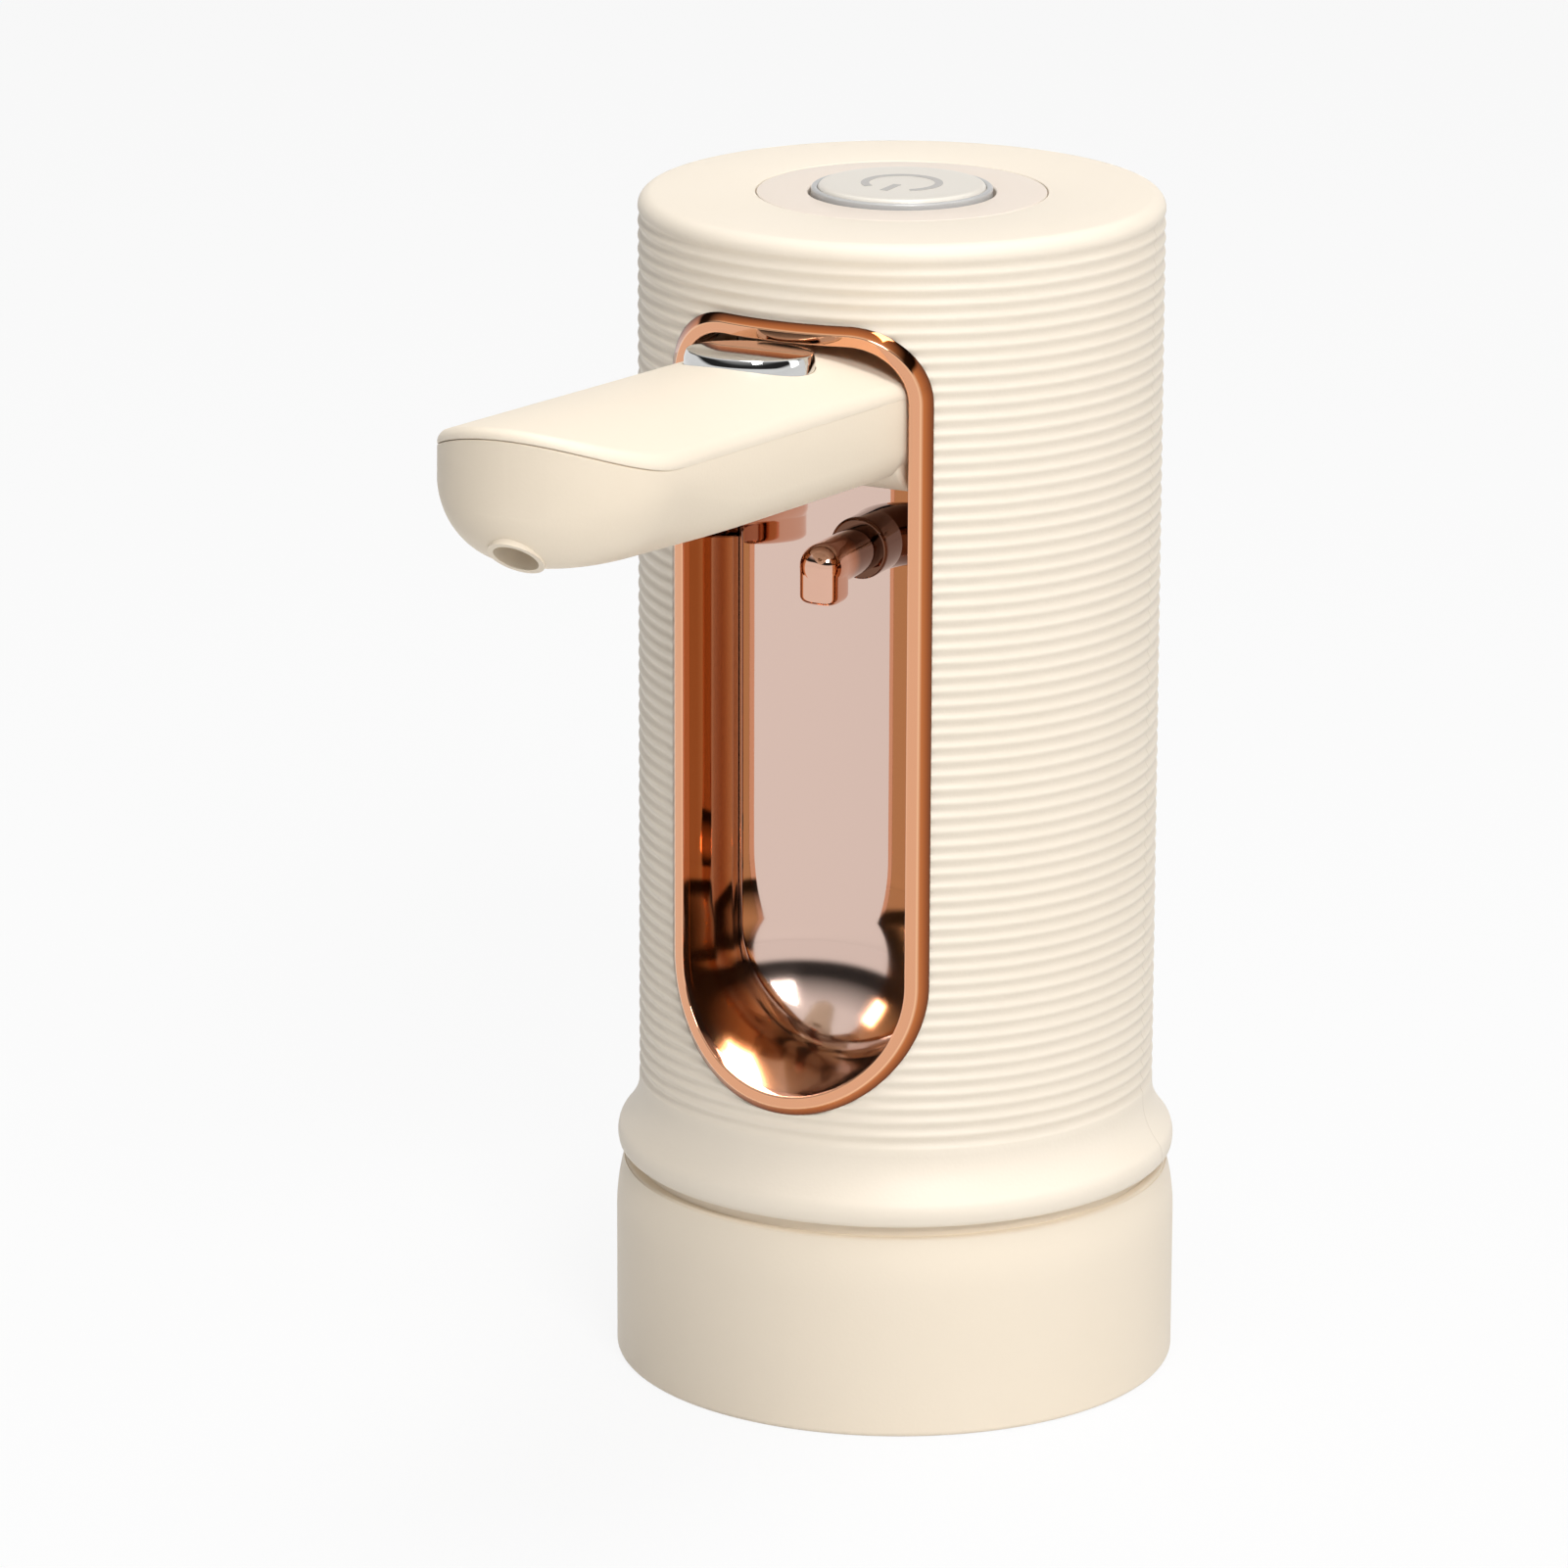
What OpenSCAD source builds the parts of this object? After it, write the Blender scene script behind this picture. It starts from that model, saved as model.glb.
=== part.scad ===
// Electric wine dispenser that stands on a bottle's neck.
// Millimetres, +Z up. The front, where the spout points, is -Y.
// The origin is on the body's axis at the resting face of the collar.

/* [Body] */
// Radius of the body over its ribs
body_r = 25.7; // [25.4:0.1:27]
// Wall of the body behind the ribs
shell_wall = 2; // [1.6:0.1:2.2]
// Wall of the body's top
top_wall = 2.4; // [2.2:0.1:3]
// Height of the top face above the recess
crown_h = 9.8; // [9.6:0.1:14]
// Radius of the rounded top edge
top_edge_r = 1.4; // [0.8:0.1:2]
// Distance from rib to rib
rib_pitch = 1.4; // [1.2:0.1:2]
// Depth of the groove between two ribs
rib_depth = 0.3; // [0.2:0.05:0.4]
// Width of the groove at its mouth
rib_groove = 0.6; // [0.4:0.05:0.8]
// Smooth band between the last rib and the rounded top edge
smooth_band = 0.8; // [0.4:0.1:4]
// Overhang of the foot's lip beyond the ribs
lip_out = 2.15; // [1:0.05:2.3]
// Height of the lip's bead up to its widest point
lip_bead_h = 2.2; // [1.6:0.1:2.5]
// Height of the cove that runs from the bead into the ribs
lip_cove_h = 4.4; // [4:0.1:5]

/* [Base] */
// How far the collar stands out beyond the body's lip
collar_out = 0.15; // [0:0.05:0.6]
// Height of the collar
collar_h = 20.3; // [19:0.1:24]
// Wall of the collar
collar_wall = 4; // [3.5:0.1:5]
// Thickness of the collar's inward lip
collar_lip_t = 2; // [1.5:0.1:3]
// Height of the collar's rounded shoulder
collar_shoulder_h = 5.7; // [3:0.1:8]
// How far the shoulder draws in
collar_shoulder_in = 0.8; // [0.4:0.1:1.4]
// Open seam between the collar and the body's lip
seam_gap = 1.3; // [0.8:0.1:1.5]
// Thickness of the plate that floors the body
base_t = 4.4; // [4:0.1:6]
// Width of the plate's spigot ring inside the collar
spigot_w = 4; // [3:0.1:5]

/* [Bottle socket] */
// Radius of the socket for the bottle's neck
neck_r = 15.2; // [14:0.1:16]
// Depth of the socket
socket_depth = 14; // [12:0.1:14.2]
// Wall of the soft sleeve round the neck
seal_wall = 2.2; // [1.5:0.1:3]
// Thickness of the seal's web over the bottle's mouth
seal_web = 2.5; // [2:0.1:3]
// Radius of the socket for the dip tube
dip_r = 2.6; // [2:0.1:3]
// Depth of the socket for the dip tube
dip_depth = 8; // [6:0.1:9]
// Wall of the dip tube's socket
dip_wall = 2.4; // [1.5:0.1:3]

/* [Recess] */
// Half width of the recess
niche_half_w = 12; // [11.5:0.1:13]
// Distance of the recess's back in front of the body's axis
niche_back = 5.5; // [4.5:0.1:6]
// Radius of the recess's hollow back
niche_back_r = 16; // [15:0.5:20]
// Radius of the recess's top corners
niche_corner_r = 5.5; // [3:0.1:7]
// Height of the recess floor above the body's foot
sill_h = 12.1; // [11.9:0.1:16]
// Wall of the plated liner
liner_wall = 0.9; // [0.7:0.05:1.1]
// Set back of the liner's front edge behind the ribs
liner_back = 0.8; // [0.6:0.05:1.2]
// Width of the trim bead
trim_w = 1.94; // [1.6:0.02:2.6]
// Rise of the trim bead above the ribs
trim_rise = 0.6; // [0.4:0.05:1]

/* [Spout] */
// Length of the spout from its hinge
spout_len = 63.5; // [60:0.5:70]
// Gap between the spout and each side of the recess
spout_side_gap = 0.4; // [0.3:0.05:0.8]
// Height of the spout's crown above the hinge axis
spout_crown = 7.4; // [7:0.1:8]
// Depth of the spout's keel below the hinge axis
spout_keel = 5.8; // [5.4:0.1:6.2]
// Radius of the spout's rounded underside, across
keel_r = 33; // [25:1:60]
// Radius of the bow under the tip
bow_r = 5.3; // [4.5:0.1:6]
// Lean of the tip's front from the bow to the crown
bow_lean = 0.6; // [0:0.1:1.5]
// Upward tilt of the opened spout in degrees
spout_tilt = 4.1; // [0:0.1:6]
// How far the folded spout's crown lies behind the ribs
flush_gap = 0.3; // [0.1:0.1:1]
// Clearance below the folded spout's tip
tip_clear = 2.8; // [1.5:0.1:5]
// Thickness of the spout's cover
cover_t = 1; // [0.9:0.05:1.3]
// Length of the cover behind the hinge axis
cover_root = 3; // [2:0.1:3.2]
// Wall of the spout's tray
tray_wall = 1.4; // [1.1:0.1:1.8]
// Radius of the hinge barrel
barrel_r = 6.2; // [5.8:0.1:6.4]
// Drop of the hinge axis below the recess's top
hinge_drop = 8.8; // [8.6:0.1:11]
// Radius of the hinge pins
pin_r = 1.2; // [1:0.05:1.5]
// Length of a hinge pin inside the barrel
pin_in = 6.6; // [4:0.1:7.5]
// Radius of the outlet in the tip
outlet_r = 2.15; // [1.8:0.05:2.3]
// Wall of the outlet nozzle
nozzle_wall = 0.55; // [0.5:0.05:0.8]
// Downward angle of the outlet in degrees
outlet_angle = 53; // [45:1:65]
// Radius of the chrome disc
disc_r = 6.2; // [5.5:0.1:6.4]
// Place of the disc's centre from the hinge axis
disc_at = 15.3; // [15.3:0.1:20]
// Rise of the disc above the crown
disc_rise = 0.9; // [0.5:0.1:1]

/* [Hook] */
// Radius of the hook's forward rod
hook_r = 2.3; // [2:0.05:2.4]
// [3:0.1:5]
// Radius of the hook's hanging peg
peg_r = 2.1; // [1.8:0.05:2.2]
// Drop of the hook's axis below the hinge axis
hook_drop = 15.2; // [14.8:0.1:18]
// Drop of the peg's end below the hook's axis
peg_drop = 3.6; // [3:0.1:4.5]
// Reach of the hook past the folded spout's keel
hook_in = 4.5; // [4:0.1:4.6]
// Radius of the hook's root
hook_root_r = 3.1; // [2.6:0.05:3.4]
// Gap between the hook's root and the folded spout
hook_root_gap = 2.9; // [2:0.1:3.5]
// Clearance round the hook in the folded spout
hook_clear = 0.6; // [0.5:0.05:0.8]

/* [Power button] */
// Radius of the button
button_r = 8.85; // [8:0.05:9.2]
// Rise of the button above the top face
button_rise = 0.8; // [0.7:0.1:1.2]
// Travel of the button
button_travel = 0.6; // [0.4:0.05:0.6]
// Width of the silver ring round the button's cap
button_ring_w = 0.6; // [0.4:0.05:1]
// Radius of the bezel plate
bezel_r = 14.15; // [13.5:0.05:15]
// Thickness of the bezel plate
bezel_t = 1.2; // [1:0.05:1.4]
// Width of the button's retaining flange
flange_w = 1.35; // [1:0.05:1.6]
// Thickness of the button's retaining flange
flange_t = 1; // [0.8:0.05:1.1]

/* [Electronics] */
// Thickness of the circuit boards
board_t = 1.6; // [1:0.1:1.8]
// Height of the posts that carry the control board
post_h = 3.8; // [3.7:0.1:4]
// Width of the switch under the button
switch_w = 6; // [5:0.1:8]
// Radius of the battery cell
battery_r = 7.1; // [6.5:0.1:7.3]
// Length of the battery cell
battery_len = 50; // [34:0.5:54]
// Width of the charging port
port_w = 9; // [8.5:0.1:9.4]
// Height of the charging port
port_h = 3.3; // [3:0.1:3.6]

/* [Pump] */
// Radius of the motor
motor_r = 7; // [6.5:0.1:7.2]
// Length of the motor's can
motor_len = 22; // [20:0.5:30]
// Wall of the motor's can
motor_wall = 0.8; // [0.6:0.1:1]
// Radius of the motor's shaft
shaft_r = 1; // [0.9:0.05:1.1]
// Height of the pump's body
pump_h = 12; // [11:0.1:12.5]
// Thickness of the pump's cover
pump_cover_t = 2; // [1.5:0.1:2.5]
// Pitch radius of the pump's gears
gear_pitch_r = 4.05; // [4:0.05:4.2]
// Thickness of the pump's gears
gear_t = 5.7; // [4.5:0.1:6]
// Radius of the wine way in the nipples
way_r = 1.1; // [0.8:0.05:1.2]
// Radius of a hose nipple
nipple_r = 1.7; // [1.5:0.05:1.8]
// Wall of the feed hose
hose_wall = 0.55; // [0.4:0.05:0.8]
// Bend radius of the feed hose
hose_bend = 6; // [5:0.1:8]
// Height of the chassis shelf above the base plate
shelf_rise = 25.5; // [25:0.1:28]
// Thickness of the chassis shelf
shelf_t = 2; // [1.5:0.1:3]
// Height of the chassis spine above its shelf
spine_h = 50; // [48:0.5:52]

/* [Clearances] */
// Gap round pieces that are fitted together and don't move
fit = 0.1; // [0.05:0.01:0.12]
// Radial gap of turning fits
run = 0.06; // [0.04:0.01:0.09]
// Gap of pieces that are seated or pressed together
seat = 0.02; // [0.01:0.01:0.03]
// Gap round moving pieces
free = 0.3; // [0.3:0.05:0.4]

/* [Hidden] */
$fn = 64;

cream = "#f1e6d2";
rose_gold = "#c98a63";
chrome = "#c9cbce";
steel = "#a9abae";
board_green = "#2f6b4f";
black = "#2b2b2d";
soft_grey = "#d9d6d0";
cell_blue = "#4a78b0";
winding = "#8a5a33";
bezel_pink = "#f2ddd0";

// Heights, from the resting face upwards
body_bottom = collar_h + seam_gap;
base_top = body_bottom + base_t;
niche_floor = body_bottom + sill_h;
bowl_z = niche_floor + niche_half_w;
hinge_z = niche_floor + tip_clear + spout_len;
niche_top = hinge_z + hinge_drop;
body_top = niche_top + crown_h;
cavity_top = body_top - top_wall;
cavity_r = body_r - rib_depth - shell_wall;
collar_r = body_r + lip_out + collar_out;
board_top = cavity_top - post_h;

// Recess and hinge, as distances in front of the body's axis
niche_axis = niche_back + niche_back_r;
hinge_front = body_r - flush_gap - spout_crown;
liner_r = body_r - liner_back;
opening_grow = liner_wall + fit;
barrel_room = spout_crown + free;
block_drop = sqrt(pow(barrel_room, 2) - pow(spout_keel + free, 2));

// Spout, in its own frame: Y along it, Z up, origin on the hinge axis
spout_hw = niche_half_w - spout_side_gap;
barrel_back = niche_axis - hinge_front + barrel_r;
barrel_hw = min(spout_hw - 0.5, sqrt(pow(niche_back_r, 2) - pow(max(0, barrel_back), 2)) - free);
tip_y = spout_len - spout_hw;
bow_y = spout_len - bow_lean - bow_r;
bow_z = bow_r - spout_keel;
crown_axis_z = spout_crown - body_r;
keel_axis_z = keel_r - spout_keel;
part_r = body_r - cover_t;
tube_r = 1.5;
tube_bore = 1;
hook_depth = spout_keel + 1.2;
tube_z = hook_depth - spout_keel + tube_r + 0.2;
nozzle_r = outlet_r + nozzle_wall;
nozzle_run = (tube_z - bow_z) / sin(outlet_angle);
elbow_y = bow_y - nozzle_run * cos(outlet_angle);
tube_from = 2;
tube_end = 1.5;
cuff_len = 5;
cavity_from = barrel_r + 2;
disc_seat = spout_crown - 0.8;

// Wine port behind the hinge barrel
port_z = hinge_z + tube_z * cos(spout_tilt) - sqrt(pow(barrel_r, 2) - pow(tube_z, 2)) * sin(spout_tilt);
seal_len = 3;
seal_from = hinge_front - barrel_r - free - seal_len;
port_back = seal_from - 2;
seal_r = 3;
spigot_r = 2.4;
elbow_front = -0.9;

// Hook
hook_z = hinge_z - hook_drop;
peg_front = hinge_front - spout_keel + hook_in;
hook_root_front = hinge_front - spout_keel - hook_root_gap;

// Stations round the recess outline: centre, direction and radius of the outline at each
arc_steps = 24;
corner_steps = 8;
top_steps = 10;
corner_x = niche_half_w - niche_corner_r;
corner_z = niche_top - niche_corner_r;
outline_stations = concat(
    [for (i = [0:arc_steps]) [[0, bowl_z], 180 + 180 * i / arc_steps, niche_half_w]],
    [for (i = [0:corner_steps]) [[corner_x, corner_z], 90 * i / corner_steps, niche_corner_r]],
    [for (i = [1:top_steps - 1]) [[corner_x * (1 - 2 * i / top_steps), corner_z], 90, niche_corner_r]],
    [for (i = [0:corner_steps]) [[-corner_x, corner_z], 90 + 90 * i / corner_steps, niche_corner_r]]
);
// Trim bead's section: distance outside the recess outline and radius from the body's axis
trim_seat = body_r + fit / 2;
trim_section = [
    [0, liner_r + fit / 2],
    [0, body_r + trim_rise * 0.2],
    [trim_w * 0.18, body_r + trim_rise * 0.75],
    [trim_w * 0.5, body_r + trim_rise],
    [trim_w * 0.82, body_r + trim_rise * 0.75],
    [trim_w, trim_seat],
    [liner_wall, trim_seat],
    [liner_wall, liner_r + fit / 2]
];

// Places behind the recess
rear_angle = 46.3;
motor_c = (cavity_r - motor_r - 0.5) * [cos(rear_angle), sin(rear_angle)];
battery_c = (cavity_r - battery_r - 0.4) * [-cos(rear_angle), sin(rear_angle)];
shelf_z = base_top + shelf_rise;
motor_z = shelf_z + shelf_t;
pump_z = shelf_z - pump_h;
motor_cap_t = 1.6;
gear_clear = 0.15;
gear_gap = 2 * gear_pitch_r + gear_clear;
idler_c = motor_c - [0, gear_gap];
mesh_c = motor_c - [0, gear_gap / 2];
gear_teeth = 9;
gear_add = 0.7;
gear_ded = 1;
tooth_root_hw = 0.75;
tooth_hw = 0.48;
tooth_tip_hw = 0.2;
gear_tip_r = gear_pitch_r + gear_add;
chamber_r = gear_tip_r + gear_clear;
chamber_h = gear_t + 2 * gear_clear;
idler_in = 3;
pocket_off = 3.8;
pocket_r = 1.4;
pump_r = pocket_off + pocket_r + 0.9;
inlet_c = mesh_c - [pocket_off, 0];
outlet_c = mesh_c + [pocket_off, 0];
sleeve_r = nipple_r + fit / 2 + hose_wall;
cross_r = way_r - 0.15;
hose_off = 7;
hose_x = idler_c[0] + hose_off;
hose_y = -elbow_front;
elbow_reach = 7;
clip_wall = 2;
outlet_z = shelf_z - 4.5;
manifold_h = 6;
nipple_len = 2.4;
manifold_w = 7;
boss_angles = [30, 150, 270];
boss_ring = cavity_r - 2.6;
boss_r = 3.2;
boss_h = 6.5;
screw_r = 1.1;
screw_head_r = 2.1;
screw_head_h = 1.6;
post_angles = [45, 135, 225, 315];
post_ring = cavity_r - 4.4;
post_r = 2.2;
post_screw_r = 0.85;
post_screw_head_r = 1.7;
post_screw_head_h = 1.2;
switch_top = board_top + 2.8;
charge_z = base_top + 3.3;
charge_w = 14;
charge_l = 9.5;
charge_y = sqrt(pow(cavity_r, 2) - pow(charge_w / 2, 2)) - free - charge_l;
charge_post_r = 1.6;
charge_post_x = 5;
port_sunk = 0.4;
port_len = 7.3;
charge_back = body_r - port_sunk - port_len;
port_mid_z = charge_z + board_t + port_h / 2;

// Points on an arc, from one angle to another
function arc_points(centre, r, from, to, steps) =
    [for (i = [0:steps]) let (a = from + (to - from) * i / steps) centre + r * [cos(a), sin(a)]];

lip_crown = 0.25;
// Radius of the foot's lip at a height above the body's foot: a bead that runs into a cove
function lip_radius(h) = h < lip_bead_h
    ? body_r + lip_out - lip_crown * pow(2 * h / lip_bead_h - 1, 2)
    : body_r + (lip_out - lip_crown) * pow(1 - min(1, (h - lip_bead_h) / lip_cove_h), 2);

// Outer profile of the body from its foot to its top
lip_h = lip_bead_h + lip_cove_h;
rib_from = body_bottom + lip_h + 0.6;
rib_to = body_top - top_edge_r - smooth_band;
rib_count = floor((rib_to - rib_from) / rib_pitch);
body_profile = concat(
    [[0, body_bottom]],
    [for (i = [0:14]) [lip_radius(lip_h * i / 14), body_bottom + lip_h * i / 14]],
    [for (i = [0:rib_count], k = [-1:1])
        [body_r - (k == 0 ? rib_depth : 0), rib_to - (rib_count - i) * rib_pitch + k * rib_groove / 2]],
    arc_points([body_r - top_edge_r, body_top - top_edge_r], top_edge_r, 0, 90, 6),
    [[0, body_top]]
);

// Outline of a pump gear with straight-flanked teeth
function tooth_point(i, r, w) = let (a = 360 / gear_teeth * i + asin(w / r)) r * [cos(a), sin(a)];
gear_outline = [for (i = [0:gear_teeth - 1], p = [
    [gear_pitch_r - gear_ded, -tooth_root_hw],
    [gear_pitch_r, -tooth_hw],
    [gear_tip_r, -tooth_tip_hw],
    [gear_tip_r, tooth_tip_hw],
    [gear_pitch_r, tooth_hw],
    [gear_pitch_r - gear_ded, tooth_root_hw]
]) tooth_point(i, p[0], p[1])];

// Outline of the recess as seen from the front, grown outwards
module niche_outline(grow) {
    hw = niche_half_w + grow;
    cr = niche_corner_r + grow;
    translate([0, bowl_z]) circle(hw);
    translate([-hw, bowl_z]) square([2 * hw, corner_z - bowl_z]);
    translate([-corner_x, bowl_z]) square([2 * corner_x, niche_top + grow - bowl_z]);
    for (s = [-1, 1]) translate([s * corner_x, corner_z]) circle(cr);
}

// Space of the recess, grown outwards: straight sides, and a hollow back that is round below
module niche_space(grow) {
    back_r = niche_back_r + grow;
    intersection() {
        rotate([90, 0, 0]) linear_extrude(2 * body_r) niche_outline(grow);
        translate([0, -niche_axis, 0]) rotate_extrude() intersection() {
            union() {
                translate([0, bowl_z]) circle(back_r);
                translate([0, bowl_z]) square([back_r, body_top - bowl_z]);
            }
            square([2 * body_r, body_top]);
        }
    }
}

// Cylinder along X, centred on the origin
module bar_x(r, len) {
    rotate([0, 90, 0]) cylinder(r = r, h = len, center = true);
}

// Cylinder along Y between two distances in front of the body's axis
module bar_front(r, from, to) {
    translate([0, -from, 0]) rotate([90, 0, 0]) cylinder(r = r, h = to - from);
}

// Body of revolution along Z with rounded ends
module rounded_bar(r, len, edge) {
    rotate_extrude() {
        square([r - edge, len]);
        translate([0, edge]) square([r, len - 2 * edge]);
        for (z = [edge, len - edge]) translate([r - edge, z]) circle(edge);
    }
}

// Outline with round ends about two points
module stadium(from, to, r) {
    way = to - from;
    translate(from) circle(r);
    translate(to) circle(r);
    translate(from) rotate(atan2(way[1], way[0])) translate([0, -r]) square([norm(way), 2 * r]);
}

// Rounded slot outline of the charging port, grown outwards
module port_outline(grow) {
    r = port_h / 2 + grow;
    square([port_w - port_h, 2 * r], center = true);
    for (s = [-1, 1]) translate([s * (port_w - port_h) / 2, 0]) circle(r);
}

module body_shell() color(cream) {
    difference() {
        rotate_extrude() polygon(body_profile);
        translate([0, 0, body_bottom - 1]) cylinder(r = cavity_r, h = cavity_top - body_bottom + 1);
        rotate([90, 0, 0]) linear_extrude(body_r + lip_out + 1) niche_outline(opening_grow);
        cylinder(r = button_r + flange_w + free, h = body_top + 1);
        translate([0, 0, body_top - bezel_t]) cylinder(r = bezel_r + fit, h = bezel_t + 1);
        translate([0, body_r + 1, port_mid_z]) rotate([90, 0, 0])
            linear_extrude(body_r + 1 - charge_back) port_outline(2 * fit);
    }
    for (a = boss_angles) rotate(a) translate([boss_ring, 0, base_top]) difference() {
        cylinder(r = boss_r, h = boss_h);
        cylinder(r = screw_r + seat, h = boss_h - 1);
    }
    for (a = post_angles) rotate(a) translate([post_ring, 0, board_top]) difference() {
        cylinder(r = post_r, h = post_h + top_wall / 2);
        cylinder(r = post_screw_r + seat, h = post_h - 0.4);
    }
}

module base_plate() color(cream) {
    difference() {
        rotate_extrude() polygon([
            [0, body_bottom],
            [collar_r - collar_wall - fit - spigot_w, body_bottom],
            [collar_r - collar_wall - fit - spigot_w, socket_depth + seal_web],
            [collar_r - collar_wall - fit, socket_depth + seal_web],
            [collar_r - collar_wall - fit, collar_h],
            [body_r + 0.5, collar_h],
            [body_r + 0.5, body_bottom],
            [cavity_r - fit, body_bottom],
            [cavity_r - fit, base_top],
            [0, base_top]
        ]);
        cylinder(r = dip_r + dip_wall + fit, h = base_top + 1);
        for (a = boss_angles) rotate(a) translate([boss_ring, 0, 0]) {
            cylinder(r = screw_r + 2 * fit, h = base_top + 1);
            cylinder(r = screw_head_r + free, h = body_bottom + screw_head_h);
        }
    }
    for (s = [-1, 1]) translate([s * charge_post_x, charge_back - 1, base_top - 1])
        cylinder(r = charge_post_r, h = charge_z - base_top + 1);
}

module base_collar() color(cream) {
    shoulder_r = (pow(collar_shoulder_h, 2) + pow(collar_shoulder_in, 2)) / (2 * collar_shoulder_in);
    shoulder_angle = asin(collar_shoulder_h / shoulder_r);
    rotate_extrude() polygon(concat(
        [[neck_r + seal_wall + free, 0], [collar_r, 0]],
        arc_points([collar_r - shoulder_r, collar_h - collar_shoulder_h], shoulder_r, 0, shoulder_angle, 6),
        [
            [collar_r - collar_wall, collar_h],
            [collar_r - collar_wall, collar_lip_t],
            [neck_r + seal_wall + free, collar_lip_t]
        ]
    ));
}

module bottle_seal() color(soft_grey) {
    skirt_r = collar_r - collar_wall - fit;
    rotate_extrude() polygon([
        [neck_r, 0.6],
        [neck_r + seal_wall, 0.6],
        [neck_r + seal_wall, socket_depth],
        [skirt_r - 2, socket_depth],
        [skirt_r - 2, collar_lip_t],
        [skirt_r, collar_lip_t],
        [skirt_r, socket_depth + seal_web],
        [dip_r + dip_wall + fit, socket_depth + seal_web],
        [dip_r + dip_wall + fit, socket_depth],
        [neck_r, socket_depth]
    ]);
}

module dip_tube_socket() color(soft_grey) difference() {
    flange = 2;
    union() {
        translate([0, 0, socket_depth]) cylinder(r = dip_r + dip_wall, h = base_top - socket_depth);
        translate([0, 0, body_bottom - flange]) cylinder(r = dip_r + dip_wall + flange, h = flange);
    }
    translate([0, 0, socket_depth - 1]) cylinder(r = dip_r, h = dip_depth + 1);
    cylinder(r = way_r, h = base_top + 1);
}

module wine_manifold() color(soft_grey) {
    reach = norm(inlet_c);
    bar_w = manifold_w - 2;
    well_r = 1.5 * way_r;
    way_z = base_top + manifold_h / 2;
    rotate(atan2(inlet_c[1], inlet_c[0])) difference() {
        union() {
            translate([0, 0, base_top]) rotate(180) cylinder(r = manifold_w / 2, h = manifold_h);
            translate([reach, 0, base_top]) cylinder(r = manifold_w / 2, h = manifold_h);
            translate([0, -bar_w / 2, base_top]) cube([reach, bar_w, manifold_h]);
            translate([reach, 0, base_top + 1]) cylinder(r = nipple_r, h = manifold_h + nipple_len - 1);
        }
        translate([0, 0, base_top - 1]) rotate(180) cylinder(r = well_r, h = manifold_h / 2 + 1 + way_r);
        translate([0, 0, way_z]) rotate([0, 90, 0]) cylinder(r = cross_r, h = reach);
        translate([reach, 0, way_z - way_r]) cylinder(r = well_r, h = 2 * way_r);
        translate([reach, 0, way_z]) cylinder(r = way_r, h = manifold_h);
    }
}

module base_screws() color(steel) {
    for (a = boss_angles) rotate(a) translate([boss_ring, 0, body_bottom]) {
        cylinder(r = screw_head_r, h = screw_head_h);
        cylinder(r = screw_r, h = base_t + boss_h - 2);
    }
}

module niche_liner() color(rose_gold) difference() {
    intersection() {
        niche_space(liner_wall);
        cylinder(r = liner_r, h = body_top);
    }
    niche_space(0);
    translate([0, -hinge_front, hinge_z]) bar_x(pin_r + seat, 4 * niche_half_w);
    translate([0, 0, port_z]) bar_front(spigot_r + fit, 0, niche_axis);
}

// Point of the trim bead: a place on the recess outline, laid on a cylinder about the body's axis
function trim_point(s, g, r) =
    let (x = s[0][0] + (s[2] + g) * cos(s[1]), z = s[0][1] + (s[2] + g) * sin(s[1]))
        [x, -sqrt(r * r - x * x), z];

module trim_frame() color(rose_gold) {
    n = len(outline_stations);
    m = len(trim_section);
    points = [for (s = outline_stations, q = trim_section) trim_point(s, q[0], q[1])];
    faces = [for (i = [0:n - 1], j = [0:m - 1], k = [0, 1])
        let (p = i * m, q = (i + 1) % n * m, j2 = (j + 1) % m)
            k == 0 ? [p + j, p + j2, q + j2] : [p + j, q + j2, q + j]];
    polyhedron(points = points, faces = faces);
}

module latch_hook() color(rose_gold) intersection() {
    niche_space(0);
    union() {
        translate([0, 0, hook_z]) {
            bar_front(hook_root_r, 0, hook_root_front);
            bar_front(hook_r, 0, peg_front);
        }
        translate([0, -peg_front, hook_z]) sphere(hook_r);
        translate([0, -peg_front, hook_z - peg_drop]) rounded_bar(peg_r, peg_drop + 1, 0.9);
    }
}

module hinge_block() color(cream) difference() {
    intersection() {
        niche_space(-fit);
        translate([-body_r, -hinge_front, hinge_z - block_drop])
            cube([2 * body_r, 2 * body_r, body_top]);
    }
    translate([0, -hinge_front, hinge_z]) bar_x(barrel_room, 4 * niche_half_w);
    translate([-body_r, -2 * hinge_front - 1, hinge_z]) cube([2 * body_r, hinge_front + 1, body_top]);
    translate([0, 0, port_z]) {
        bar_front(spigot_r + fit, 0, port_back);
        bar_front(way_r, 0, hinge_front);
        bar_front(seal_r + fit, seal_from, hinge_front);
    }
}

module hinge_pins() color(steel) {
    pin_mid = niche_half_w + liner_wall - 0.05 - pin_in / 2;
    for (s = [-1, 1]) translate([s * pin_mid, -hinge_front, hinge_z]) bar_x(pin_r, pin_in);
}

module feed_seal() color(black) difference() {
    translate([0, 0, port_z]) bar_front(seal_r, seal_from, hinge_front);
    translate([0, 0, port_z]) bar_front(way_r, 0, hinge_front);
    translate([0, -hinge_front, hinge_z]) bar_x(barrel_r + free, 4 * niche_half_w);
}

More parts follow.
